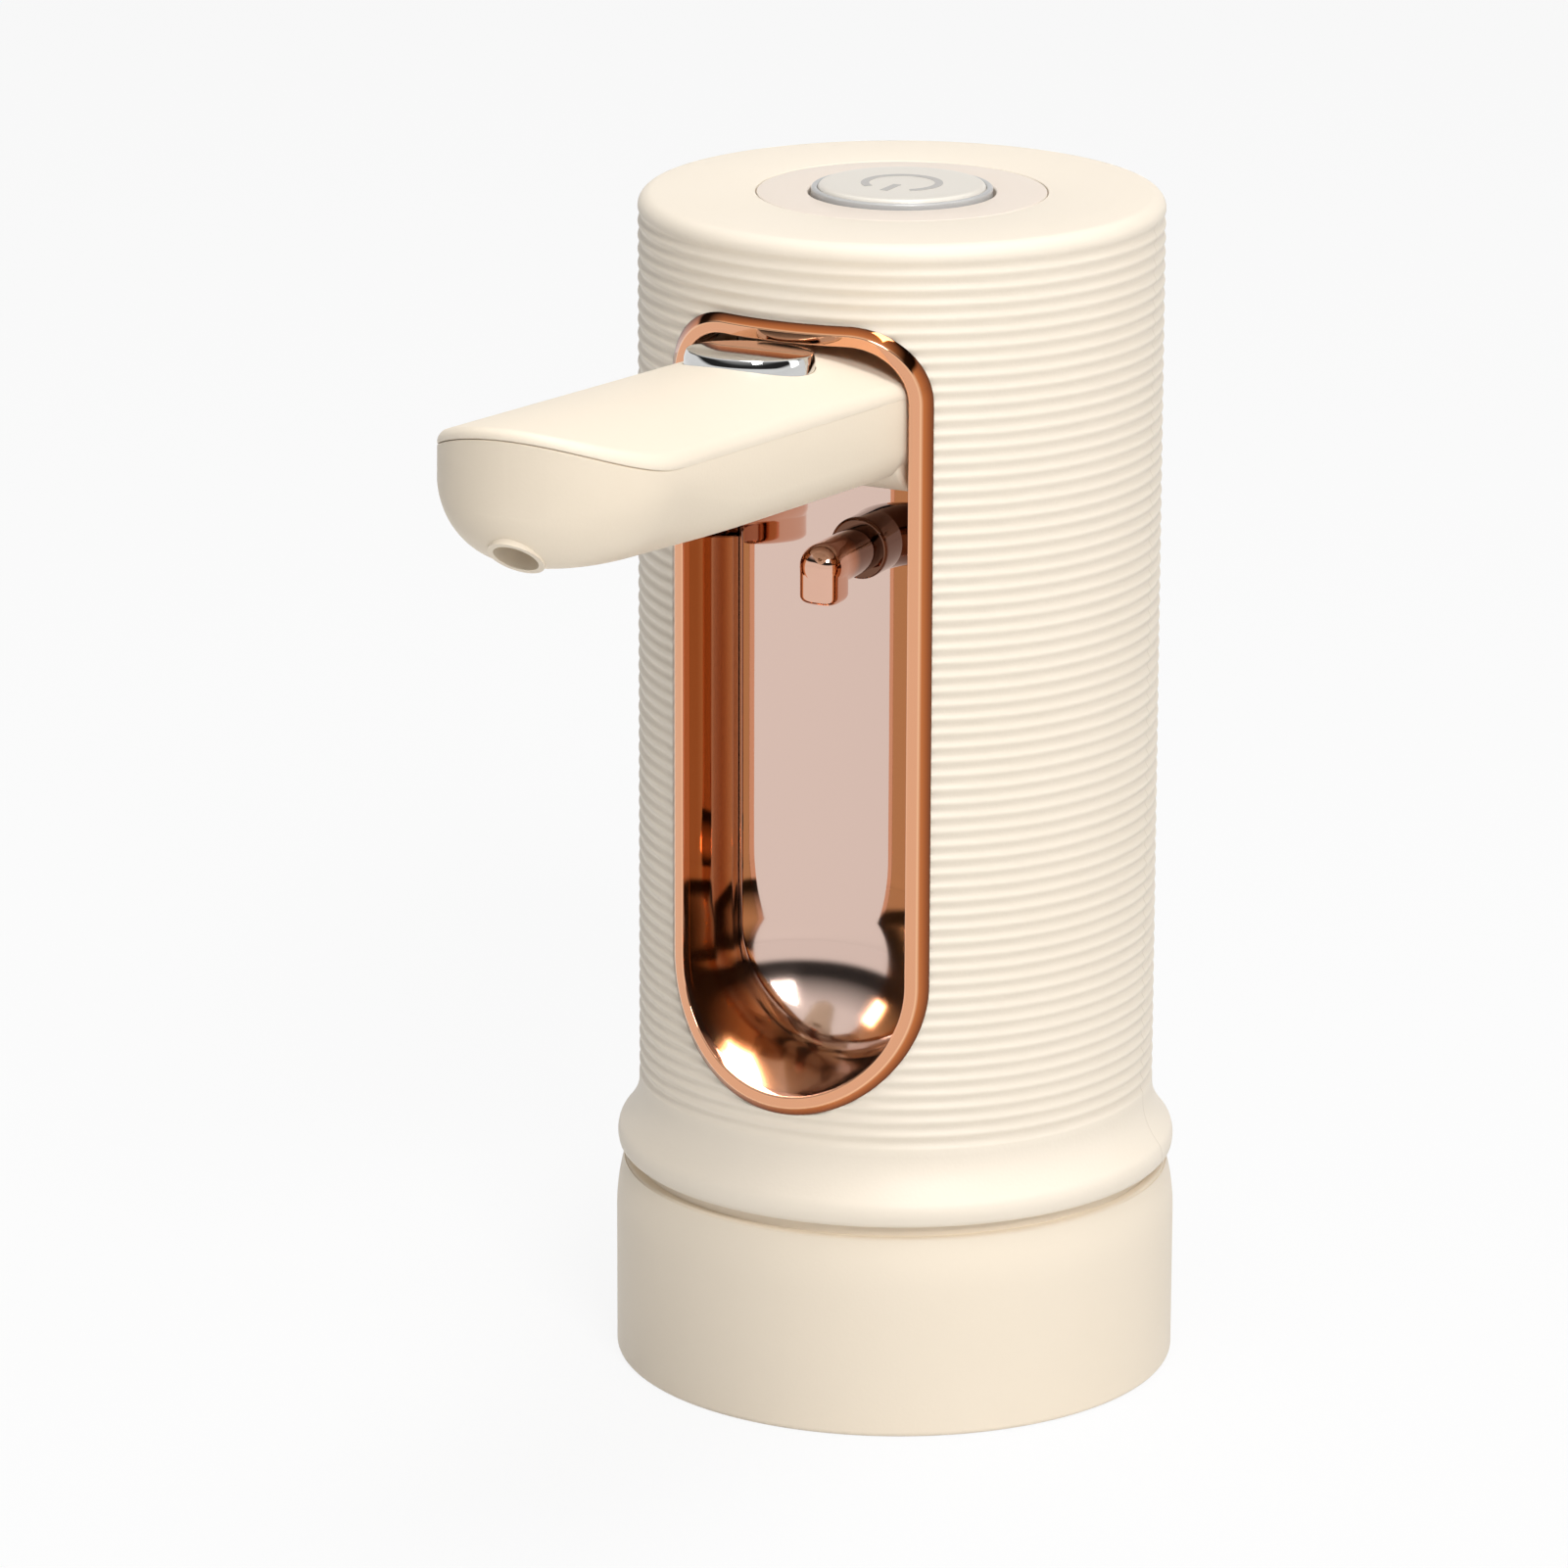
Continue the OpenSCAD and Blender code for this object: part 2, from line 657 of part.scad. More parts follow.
module feed_elbow() color(soft_grey) translate([0, hose_y, port_z]) difference() {
    union() {
        sphere(spigot_r + 0.4);
        rotate([90, 0, 0]) cylinder(r = spigot_r, h = port_back - elbow_front - fit);
        rotate([0, 90, 0]) cylinder(r = nipple_r, h = elbow_reach);
    }
    rotate([90, 0, 0]) cylinder(r = way_r, h = body_r);
    rotate([0, 90, 0]) cylinder(r = way_r, h = body_r);
}

// Feed hose: a tube swept up from the pump, over a bend and across to the elbow
hose_sides = 12;
bend_steps = 6;
hose_bore = (nipple_r + fit / 2) / cos(180 / hose_sides);
// Stations of the hose: place in the XZ plane and the angle of its outer side there
hose_stations = concat(
    [[[hose_x, shelf_z + fit], 0]],
    [for (i = [0:bend_steps]) let (a = 90 * i / bend_steps)
        [[hose_x - hose_bend, port_z - hose_bend] + hose_bend * [cos(a), sin(a)], a]],
    [[[spigot_r + 0.7, port_z], 90]]
);

// Point of the hose's wall at a station and a turn round it
function hose_point(s, r, turn) = [
    s[0][0] + r * cos(turn) * cos(s[1]),
    hose_y + r * sin(turn),
    s[0][1] + r * cos(turn) * sin(s[1])
];

module feed_hose() color(soft_grey) {
    n = len(hose_stations);
    m = hose_sides;
    rings = [for (r = [hose_bore + hose_wall, hose_bore], s = hose_stations, j = [0:m - 1])
        hose_point(s, r, 360 * j / m)];
    walls = [for (w = [0, 1], i = [0:n - 2], j = [0:m - 1], k = [0, 1])
        let (a = (w * n + i) * m + j, b = (w * n + i) * m + (j + 1) % m, c = a + m, d = b + m)
            w == 0 ? (k == 0 ? [a, c, d] : [a, d, b]) : (k == 0 ? [a, d, c] : [a, b, d])];
    ends = [for (i = [0, n - 1], j = [0:m - 1], k = [0, 1])
        let (a = i * m + j, b = i * m + (j + 1) % m, c = a + n * m, d = b + n * m)
            i == 0 ? (k == 0 ? [a, b, d] : [a, d, c]) : (k == 0 ? [a, d, b] : [a, c, d])];
    polyhedron(points = rings, faces = concat(walls, ends));
}

// Puts a piece of the spout, drawn along +Y from the hinge axis, where the opened spout stands
module spout_place() {
    translate([0, -hinge_front, hinge_z]) rotate([-spout_tilt, 0, 0]) rotate(180) children();
}

// Extrudes a side view, with Y to its right and Z up, across the spout
module across() {
    rotate([90, 0, 90]) linear_extrude(4 * niche_half_w, center = true) children();
}

// Cylinder along the spout that gives its crown, its parting line or its underside
module along_spout(r, z) {
    translate([0, -spout_len, z]) rotate([-90, 0, 0]) cylinder(r = r, h = 3 * spout_len, $fn = 128);
}

// Side view of the spout, drawn in by a wall
module spout_side(from, inset) {
    translate([from, inset - spout_keel]) square([bow_y - from, spout_crown + spout_keel]);
    translate([bow_y, bow_z]) circle(bow_r - inset);
    polygon([
        [bow_y - bow_r / 2, bow_z],
        [spout_len - bow_lean - inset, bow_z],
        [spout_len - inset, spout_crown + 1],
        [bow_y - bow_r / 2, spout_crown + 1]
    ]);
}

// Plan of the spout with its round tip, drawn in by a wall
module spout_plan(from, inset) {
    translate([0, tip_y]) circle(spout_hw - inset);
    translate([inset - spout_hw, from]) square([2 * (spout_hw - inset), tip_y - from]);
}

module spout_form(from, inset) {
    intersection() {
        across() spout_side(from, inset);
        translate([0, 0, -2 * spout_keel]) linear_extrude(4 * spout_keel) spout_plan(from, inset);
        along_spout(keel_r - inset, keel_axis_z);
    }
}

// Outlet way through the spout's tip: a bar along the outlet's slanting axis
module outlet_bar(r, from, to) {
    translate([0, bow_y, bow_z]) rotate([-90 - outlet_angle, 0, 0]) translate([0, 0, from])
        cylinder(r = r, h = to - from);
}

module spout_tray() color(cream) spout_place() difference() {
    intersection() {
        union() {
            spout_form(0, 0);
            bar_x(barrel_r, 2 * barrel_hw);
        }
        along_spout(part_r - fit, crown_axis_z);
    }
    spout_form(cavity_from, tray_wall);
    hook_from = hook_drop - hook_r - hook_clear - 2;
    hook_to = hook_drop + peg_drop + hook_clear + 1;
    translate([-hook_r - hook_clear, hook_from, -2 * spout_keel])
        cube([2 * (hook_r + hook_clear), hook_to - hook_from, spout_keel + hook_depth]);
    pin_hole = pin_in - spout_side_gap - liner_wall + free;
    for (s = [-1, 1]) translate([s * spout_hw, 0, 0]) bar_x(pin_r + run, 2 * pin_hole);
    translate([0, -barrel_r, tube_z]) rotate([-90, 0, 0]) cylinder(r = tube_bore, h = 2 * barrel_r);
    translate([0, tube_from, tube_z]) rotate([-90, 0, 0]) cylinder(r = tube_r + seat, h = 2 * barrel_r);
    outlet_bar(nozzle_r + fit / 2, 0, 2 * bow_r);
}

module spout_cover() color(cream) spout_place() difference() {
    intersection() {
        across() {
            intersection() {
                circle(spout_crown);
                translate([-cover_root, 0]) square([cover_root, spout_crown]);
            }
            square([bow_y, spout_crown]);
            spout_side(0, 0);
        }
        linear_extrude(2 * spout_crown) {
            spout_plan(0, 0);
            translate([-barrel_hw, -cover_root]) square([2 * barrel_hw, 2 * cover_root]);
        }
        along_spout(body_r, crown_axis_z);
    }
    difference() {
        along_spout(part_r, crown_axis_z);
        translate([0, disc_at, disc_seat - 1]) cylinder(r = disc_r + 0.6, h = spout_crown);
    }
    translate([0, disc_at, disc_seat]) cylinder(r = disc_r + fit / 2, h = spout_crown);
}

module spout_disc() color(chrome) spout_place() translate([0, disc_at, disc_seat]) {
    rounded_top = 0.4;
    h = spout_crown + disc_rise - disc_seat;
    rotate_extrude() {
        square([disc_r - rounded_top, h]);
        square([disc_r, h - rounded_top]);
        translate([disc_r - rounded_top, h - rounded_top]) circle(rounded_top);
    }
}

module spout_tube() color(soft_grey) spout_place() difference() {
    translate([0, tube_from, tube_z]) rotate([-90, 0, 0])
        cylinder(r = tube_r, h = elbow_y - tube_end - tube_from);
    translate([0, 0, tube_z]) rotate([-90, 0, 0]) cylinder(r = tube_bore, h = spout_len);
}

module spout_nozzle() color(black) spout_place() difference() {
    union() {
        outlet_bar(nozzle_r, -nozzle_run, bow_r - 0.15);
        translate([0, elbow_y, tube_z]) sphere(nozzle_r + 0.2);
        translate([0, elbow_y - cuff_len, tube_z]) rotate([-90, 0, 0])
            cylinder(r = tube_r + 0.8, h = cuff_len);
    }
    outlet_bar(outlet_r, 0.3 - nozzle_run, 2 * bow_r);
    translate([0, elbow_y - 2 * cuff_len, tube_z]) rotate([-90, 0, 0]) {
        cylinder(r = tube_r + seat, h = 2 * cuff_len - tube_end + fit);
        cylinder(r = tube_bore, h = 2 * cuff_len + tube_bore);
    }
}

module button_bezel() color(bezel_pink) translate([0, 0, body_top - bezel_t]) difference() {
    cylinder(r = bezel_r, h = bezel_t);
    translate([0, 0, -1]) cylinder(r = button_r + free, h = bezel_t + 2);
}

module power_button() color(soft_grey) {
    flange_top = body_top - bezel_t - fit / 2;
    cap_r = button_r - button_ring_w - fit / 2;
    cap_top = body_top + button_rise;
    edge = 0.5;
    stem_r = 1.8;
    stem_bottom = switch_top + button_travel + fit / 2;
    rotate_extrude() polygon(concat(
        [
            [0, stem_bottom],
            [stem_r, stem_bottom],
            [stem_r, flange_top - flange_t],
            [button_r + flange_w, flange_top - flange_t],
            [button_r + flange_w, flange_top],
            [cap_r, flange_top]
        ],
        arc_points([cap_r - edge, cap_top - edge], edge, 0, 90, 6),
        [[0, cap_top]]
    ));
}

module button_ring() color(chrome) {
    ring_from = body_top - bezel_t - fit / 2;
    ring_sunk = 0.35;
    translate([0, 0, ring_from]) difference() {
        cylinder(r = button_r, h = body_top + button_rise - ring_sunk - ring_from);
        translate([0, 0, -1]) cylinder(r = button_r - button_ring_w, h = body_top);
    }
}

module control_board() color(board_green) translate([0, 0, board_top - board_t]) difference() {
    cylinder(r = cavity_r - 2 * free, h = board_t);
    for (a = post_angles) rotate(a) translate([post_ring, 0, -1])
        cylinder(r = post_screw_r + free, h = board_t + 2);
}

module board_screws() color(steel) {
    for (a = post_angles) rotate(a) translate([post_ring, 0, board_top - board_t]) {
        translate([0, 0, -post_screw_head_h]) cylinder(r = post_screw_head_r, h = post_screw_head_h);
        cylinder(r = post_screw_r, h = board_t + post_h - 0.8);
    }
}

module tact_switch() color(black) {
    plunger_r = 1.6;
    plunger_rise = 0.8;
    switch_h = switch_top - board_top;
    translate([-switch_w / 2, -switch_w / 2, board_top]) cube([switch_w, switch_w, switch_h - plunger_rise]);
    translate([0, 0, board_top]) cylinder(r = plunger_r, h = switch_h);
}

// Clip of the chassis round a cell or motor
module clip(c, r) difference() {
    clip_h = 4;
    translate([c[0], c[1], 0]) cylinder(r = r + clip_wall, h = clip_h);
    translate([c[0], c[1], -1]) cylinder(r = r + fit, h = clip_h + 2);
}

module chassis() color(black) {
    spine_hw = max(1.5, -battery_c[0] - battery_r - clip_wall + 0.3);
    spine_back = 7;
    spine_t = 12;
    battery_clips = [8, 36];
    motor_clip = 12;
    leg_t = 2;
    leg_back = 4.6;
    leg_gap = 1.1;
    leg_w = charge_y - leg_gap - leg_back;
    difference() {
        intersection() {
            translate([0, 0, shelf_z]) cylinder(r = cavity_r - free, h = shelf_t);
            translate([-body_r, leg_back, 0]) cube([2 * body_r, body_r, body_top]);
        }
        translate([motor_c[0], motor_c[1], shelf_z - 1]) cylinder(r = 3 * shaft_r, h = shelf_t + 2);
    }
    translate([-spine_hw, spine_back, motor_z]) cube([2 * spine_hw, spine_t, spine_h]);
    intersection() {
        cylinder(r = cavity_r - 1, h = body_top);
        union() {
            for (h = battery_clips) translate([0, 0, motor_z + h]) clip(battery_c, battery_r);
            translate([0, 0, motor_z + motor_clip]) clip(motor_c, motor_r);
        }
    }
    for (x = [battery_c[0] - leg_t, -spine_hw - leg_t]) translate([x, leg_back, base_top])
        cube([leg_t, leg_w, shelf_rise + shelf_t / 2]);
}

module battery_cell() color(cell_blue) translate([battery_c[0], battery_c[1], motor_z]) {
    cap_r = 2.8;
    cap_h = 1.2;
    cylinder(r = battery_r, h = battery_len - cap_h);
    cylinder(r = cap_r, h = battery_len);
}

module charge_board() color(board_green) {
    translate([-charge_w / 2, charge_y, charge_z]) cube([charge_w, charge_l, board_t]);
}

module charge_port() color(steel) {
    port_wall = 0.4;
    translate([0, body_r - port_sunk, port_mid_z]) rotate([90, 0, 0]) difference() {
        linear_extrude(port_len) port_outline(0);
        translate([0, 0, -1]) linear_extrude(port_len) port_outline(-port_wall);
    }
}

module motor_can() color(steel) translate([motor_c[0], motor_c[1], motor_z]) difference() {
    cylinder(r = motor_r, h = motor_len);
    translate([0, 0, 2 * motor_wall]) cylinder(r = motor_r - motor_wall, h = motor_len);
    translate([0, 0, -1]) cylinder(r = shaft_r + run, h = motor_len);
}

module motor_cap() color(black) translate([motor_c[0], motor_c[1], motor_z + motor_len]) difference() {
    cylinder(r = motor_r, h = motor_cap_t);
    translate([0, 0, -1]) cylinder(r = shaft_r + run, h = motor_cap_t + 2);
}

module motor_armature() color(winding) {
    end_room = 4;
    air_gap = 0.6;
    translate([motor_c[0], motor_c[1], motor_z + end_room]) difference() {
        cylinder(r = motor_r - motor_wall - air_gap, h = motor_len - 2 * end_room);
        translate([0, 0, -1]) cylinder(r = shaft_r + seat / 2, h = motor_len);
    }
}

module rotor_shaft() color(chrome) {
    shaft_from = pump_z + 2 * gear_clear;
    shaft_to = motor_z + motor_len + motor_cap_t + 0.4;
    translate([motor_c[0], motor_c[1], shaft_from]) cylinder(r = shaft_r, h = shaft_to - shaft_from);
}

// Oval of the pump's body and cover
module pump_oval(h) {
    linear_extrude(h) stadium(motor_c, idler_c, pump_r);
}

module pump_body() color(soft_grey) {
    outlet_run = [hose_x, hose_y] - outlet_c;
    lug_r = 3.2;
    lug_drop = 2.4;
    difference() {
        union() {
            translate([0, 0, pump_z]) pump_oval(pump_h);
            translate([hose_x, hose_y, outlet_z - lug_drop])
                cylinder(r = lug_r, h = shelf_z - outlet_z + lug_drop);
            translate([hose_x, hose_y, outlet_z])
                cylinder(r = nipple_r, h = shelf_z - outlet_z + 2 * nipple_len);
        }
        translate([0, 0, pump_z - 1]) linear_extrude(chamber_h + 1) {
            for (c = [motor_c, idler_c]) translate(c) circle(chamber_r);
            stadium(inlet_c, outlet_c, pocket_r);
        }
        translate([outlet_c[0], outlet_c[1], pump_z]) cylinder(r = way_r, h = outlet_z - pump_z + way_r);
        translate([outlet_c[0], outlet_c[1], outlet_z]) rotate([0, 90, atan2(outlet_run[1], outlet_run[0])])
            cylinder(r = cross_r, h = norm(outlet_run));
        translate([hose_x, hose_y, outlet_z - way_r]) cylinder(r = way_r, h = pump_h);
        translate([motor_c[0], motor_c[1], pump_z]) cylinder(r = shaft_r + run, h = pump_h + 1);
        translate([idler_c[0], idler_c[1], pump_z]) cylinder(r = shaft_r + seat, h = chamber_h + idler_in);
    }
}

module pump_cover() color(soft_grey) {
    cover_z = pump_z - pump_cover_t;
    difference() {
        union() {
            translate([0, 0, cover_z]) pump_oval(pump_cover_t);
            translate([inlet_c[0], inlet_c[1], cover_z - nipple_len])
                cylinder(r = nipple_r, h = nipple_len + 1);
        }
        translate([inlet_c[0], inlet_c[1], cover_z - nipple_len - 1]) cylinder(r = way_r, h = pump_h);
    }
}

module pump_gear() {
    translate([0, 0, pump_z + gear_clear]) difference() {
        linear_extrude(gear_t) polygon(gear_outline);
        translate([0, 0, -1]) children();
    }
}

module drive_gear() color(steel) translate([motor_c[0], motor_c[1], 0])
    pump_gear() cylinder(r = shaft_r + seat / 2, h = gear_t + 2);

module idler_gear() color(steel) translate([idler_c[0], idler_c[1], 0]) rotate(180 / gear_teeth)
    pump_gear() cylinder(r = shaft_r + run, h = gear_t + 2);

module idler_pin() color(chrome) translate([idler_c[0], idler_c[1], pump_z])
    cylinder(r = shaft_r, h = chamber_h + idler_in - 0.4);

module inlet_sleeve() color(soft_grey) {
    sleeve_from = base_top + manifold_h + fit;
    sleeve_h = pump_z - pump_cover_t - fit - sleeve_from;
    translate([inlet_c[0], inlet_c[1], sleeve_from]) difference() {
        cylinder(r = sleeve_r, h = sleeve_h);
        translate([0, 0, -1]) cylinder(r = sleeve_r - hose_wall, h = sleeve_h + 2);
    }
}

body_shell();
base_plate();
base_collar();
bottle_seal();
dip_tube_socket();
wine_manifold();
base_screws();
niche_liner();
trim_frame();
latch_hook();
hinge_block();
hinge_pins();
feed_seal();
feed_elbow();
feed_hose();
spout_tray();
spout_cover();
spout_disc();
spout_tube();
spout_nozzle();
button_bezel();
power_button();
button_ring();
control_board();
board_screws();
tact_switch();
chassis();
battery_cell();
charge_board();
charge_port();
motor_can();
motor_cap();
motor_armature();
rotor_shaft();
pump_body();
pump_cover();
drive_gear();
idler_gear();
idler_pin();
inlet_sleeve();
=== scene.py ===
"""Looks of the bottle-top wine dispenser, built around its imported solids.

Sizes are in millimetres until a mesh is made.
"""

import math

import bmesh
import bpy
import numpy as np
from mathutils import Matrix, Vector


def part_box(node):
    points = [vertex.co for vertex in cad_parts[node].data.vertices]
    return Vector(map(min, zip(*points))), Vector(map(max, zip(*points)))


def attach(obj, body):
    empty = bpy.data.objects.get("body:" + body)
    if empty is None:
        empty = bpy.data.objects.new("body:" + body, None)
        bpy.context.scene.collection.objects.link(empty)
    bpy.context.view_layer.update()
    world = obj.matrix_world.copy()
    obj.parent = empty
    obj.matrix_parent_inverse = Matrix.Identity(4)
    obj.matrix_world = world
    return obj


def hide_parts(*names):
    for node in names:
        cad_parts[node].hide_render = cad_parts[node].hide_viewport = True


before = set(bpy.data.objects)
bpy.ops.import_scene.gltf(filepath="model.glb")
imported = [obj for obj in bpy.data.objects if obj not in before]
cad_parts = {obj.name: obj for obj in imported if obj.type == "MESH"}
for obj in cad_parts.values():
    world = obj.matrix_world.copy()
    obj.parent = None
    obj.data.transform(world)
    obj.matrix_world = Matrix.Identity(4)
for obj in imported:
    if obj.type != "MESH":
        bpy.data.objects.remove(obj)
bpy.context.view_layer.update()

MM = 0.001

# Sizes shared with the solids
BODY_R = 25.7
BODY_FOOT = 21.6
BODY_TOP = 118.6
CAVITY_R = 23.4
CAVITY_TOP = 116.2
TOP_EDGE_R = 1.4
RIB_PITCH = 1.4
RIB_DEPTH = 0.3
RIB_FROM = 28.9
RIB_COUNT = 63
LIP_OUT = 2.15
LIP_CROWN = 0.25
LIP_BEAD_H = 2.2
LIP_COVE_H = 4.4
COLLAR_R = 27.99
COLLAR_H = 20.3
COLLAR_WALL = 4.0
COLLAR_FLOOR = 2.0
NICHE_HALF_W = 12.0
NICHE_BACK_R = 16.0
NICHE_AXIS = 21.5
NICHE_TOP = 108.8
NICHE_CORNER_R = 5.5
BOWL_Z = 45.7
LINER_WALL = 0.9
LINER_R = 24.9
TRIM_W = 1.94
TRIM_RISE = 0.6
HINGE_FRONT = 18.0
HINGE_Z = 100.0
SPOUT_TILT = 4.1
SPOUT_LEN = 63.5
SPOUT_HW = 11.6
SPOUT_CROWN = 7.4
SPOUT_KEEL = 5.8
KEEL_R = 33.0
BARREL_R = 6.2
BARREL_HW = 11.1
COVER_T = 1.0
COVER_ROOT = 3.0
BOW_R = 5.3
BOW_LEAN = 0.6
DISC_R = 6.2
DISC_AT = 15.3
DISC_RISE = 0.9
BUTTON_R = 8.85
BUTTON_TOP = 119.4
BEZEL_R = 14.15
BEZEL_T = 1.2
CORNER_X = NICHE_HALF_W - NICHE_CORNER_R
CORNER_Z = NICHE_TOP - NICHE_CORNER_R


def linear(code):
    """An sRGB hex colour as linear RGBA."""
    channels = [int(code[i:i + 2], 16) / 255 for i in (1, 3, 5)]
    return [c / 12.92 if c <= 0.04045 else ((c + 0.055) / 1.055) ** 2.4 for c in channels] + [1.0]


def add(tree, kind, sockets=None, **settings):
    """A node with its settings, and its inputs set to values or linked from sockets or nodes' first outputs."""
    made = tree.nodes.new(kind)
    for name, value in settings.items():
        setattr(made, name, value)
    for name, value in (sockets or {}).items():
        if isinstance(value, bpy.types.Node):
            value = value.outputs[0]
        if isinstance(value, bpy.types.NodeSocket):
            tree.links.new(value, made.inputs[name])
        else:
            made.inputs[name].default_value = value
    return made


def in_scene(name, data):
    """A new object with the given data, in the scene."""
    made = bpy.data.objects.new(name, data)
    bpy.context.scene.collection.objects.link(made)
    return made


def emptied(holder):
    """The node tree of a new material or world, with nothing in it."""
    holder.use_nodes = True
    holder.node_tree.nodes.clear()
    return holder.node_tree


# Camera: the photograph's view, from the front right and a little above
CAMERA_AZIMUTH = 25.7
CAMERA_ELEVATION = 16.04
CAMERA_DISTANCE = 781.0
CAMERA_AIM_Z = 59.28
CAMERA_LENS = 180.67
CAMERA_TURN = (0.828, -0.055, 0.406)

azimuth, elevation = math.radians(CAMERA_AZIMUTH), math.radians(CAMERA_ELEVATION)
camera_data = bpy.data.cameras.new("camera")
camera_data.sensor_width = 36.0
camera_data.lens = CAMERA_LENS
camera_data.clip_start = 0.05
camera_data.clip_end = 20.0
camera = in_scene("camera", camera_data)
bpy.context.scene.camera = camera
aim = Matrix.Rotation(azimuth, 4, "Z") @ Matrix.Rotation(math.pi / 2 - elevation, 4, "X")
for degrees, axis in zip(CAMERA_TURN, "YXZ"):
    aim = aim @ Matrix.Rotation(math.radians(degrees), 4, axis)
away = Vector((math.sin(azimuth) * math.cos(elevation), -math.cos(azimuth) * math.cos(elevation),
               math.sin(elevation)))
camera_at = MM * (Vector((0, 0, CAMERA_AIM_Z)) + CAMERA_DISTANCE * away)
camera.matrix_world = Matrix.Translation(camera_at) @ aim


# Finishes
DRIFT_MM = 22
DRIFT_DETAIL = 2.0
GRAIN_DETAIL = 3.0
WAVE_DETAIL = 1.0
CLOUD_SHARE = 0.3
CLOUD_DETAIL = 4.0
LACQUER_ROUGH = 0.03


def patterned(name, tones, rough, spread, tone_by, gloss_by, relief_by, depth_mm):
    """A finish whose tones, gloss and relief each follow a noise, given as its size in mm and its detail."""
    made = bpy.data.materials.new(name)
    tree = emptied(made)
    shader = add(tree, "ShaderNodeBsdfPrincipled")
    add(tree, "ShaderNodeOutputMaterial", {"Surface": shader.outputs["BSDF"]})
    place = add(tree, "ShaderNodeTexCoord").outputs["Object"]
    noises = {}
    for size, detail in dict.fromkeys((tone_by, gloss_by, relief_by)):
        noise = add(tree, "ShaderNodeTexNoise", {"Vector": place, "Scale": 1 / (size * MM), "Detail": detail})
        noises[size, detail] = noise.outputs["Fac"]
    gloss = add(tree, "ShaderNodeMapRange",
                {"Value": noises[gloss_by], "To Min": max(0.0, rough - spread), "To Max": rough + spread})
    bump = add(tree, "ShaderNodeBump",
               {"Height": noises[relief_by], "Strength": 1.0, "Distance": depth_mm * MM})
    if tones:
        colour, shade = (linear(code) for code in tones)
        tone = add(tree, "ShaderNodeMix", {"Factor": noises[tone_by], "A": colour, "B": shade},
                   data_type="RGBA")
        tree.links.new(tone.outputs["Result"], shader.inputs["Base Color"])
    tree.links.new(gloss.outputs["Result"], shader.inputs["Roughness"])
    tree.links.new(bump.outputs["Normal"], shader.inputs["Normal"])
    return made, shader


def moulded(name, tones, rough, spread, grain_mm, grain_depth, ior=1.53):
    """Plastic, rubber, ink or lacquer: a colour that drifts slightly over the piece, and a fine grain.

    The real grain is too fine to show in the render, so it is drawn as coarse as it needs to show.
    """
    drift, grain = (DRIFT_MM, DRIFT_DETAIL), (grain_mm, GRAIN_DETAIL)
    made, shader = patterned(name, tones, rough, spread, drift, grain, grain, grain_depth)
    shader.inputs["IOR"].default_value = ior
    return made


def metal(name, tones, rough, spread, wave_mm, wave_depth, lacquer=0.0):
    """Metal or plating: a slightly wavy face, faintly cloudy in tone and gloss, under its lacquer if any."""
    wave, cloud = (wave_mm, WAVE_DETAIL), (wave_mm * CLOUD_SHARE, CLOUD_DETAIL)
    made, shader = patterned(name, tones, rough, spread, cloud, cloud, wave, wave_depth)
    shader.inputs["Metallic"].default_value = 1.0
    shader.inputs["Coat Weight"].default_value = lacquer
    shader.inputs["Coat Roughness"].default_value = LACQUER_ROUGH
    return made


def opened(made):
    """A finish's tree and its shader's inputs."""
    tree = made.node_tree
    return tree, next(n for n in tree.nodes if n.type == "BSDF_PRINCIPLED").inputs


def spot_on(tree):
    """X, Y and Z on the piece, from its Object coordinates."""
    place = add(tree, "ShaderNodeTexCoord").outputs["Object"]
    return add(tree, "ShaderNodeSeparateXYZ", {"Vector": place}).outputs


def tone_along(made, value, stops):
    """Gives a finish colours along a value from 0 to 1: stops are places with their colours."""
    tree, shader = opened(made)
    ramp = add(tree, "ShaderNodeValToRGB", {"Fac": value})
    spots = ramp.color_ramp.elements
    while len(spots) < len(stops):
        spots.new(1.0)
    for spot, (place, code) in zip(spots, stops):
        spot.position, spot.color = place, linear(code)
    tree.links.new(ramp.outputs["Color"], shader["Base Color"])


def tone_outwards(made, back, front, stops):
    """Gives a finish colours from a place near the body's axis to one further to the front."""
    tree = made.node_tree
    out = add(tree, "ShaderNodeMapRange",
              {"Value": spot_on(tree)["Y"], "From Min": -back * MM, "From Max": -front * MM})
    tone_along(made, out, stops)


def witness_line(made, y, colour, strength, core, edge):
    """Draws the thin line where the mould's halves met, on the wall below the top edge."""
    tree, shader = opened(made)
    spot = spot_on(tree)
    off = add(tree, "ShaderNodeMath", {0: spot["Y"], 1: y * MM}, operation="SUBTRACT")
    off = add(tree, "ShaderNodeMath", {0: off}, operation="ABSOLUTE")
    line = add(tree, "ShaderNodeMapRange",
               {"Value": off, "From Min": core * MM, "From Max": edge * MM, "To Min": strength, "To Max": 0.0})
    wall = add(tree, "ShaderNodeMath", {0: spot["Z"], 1: (BODY_TOP - TOP_EDGE_R) * MM}, operation="LESS_THAN")
    line = add(tree, "ShaderNodeMath", {0: line, 1: wall}, operation="MULTIPLY")
    plain = shader["Base Color"].links[0].from_socket
    dark = add(tree, "ShaderNodeMix", {"Factor": line, "A": plain, "B": linear(colour)}, data_type="RGBA")
    tree.links.new(dark.outputs["Result"], shader["Base Color"])


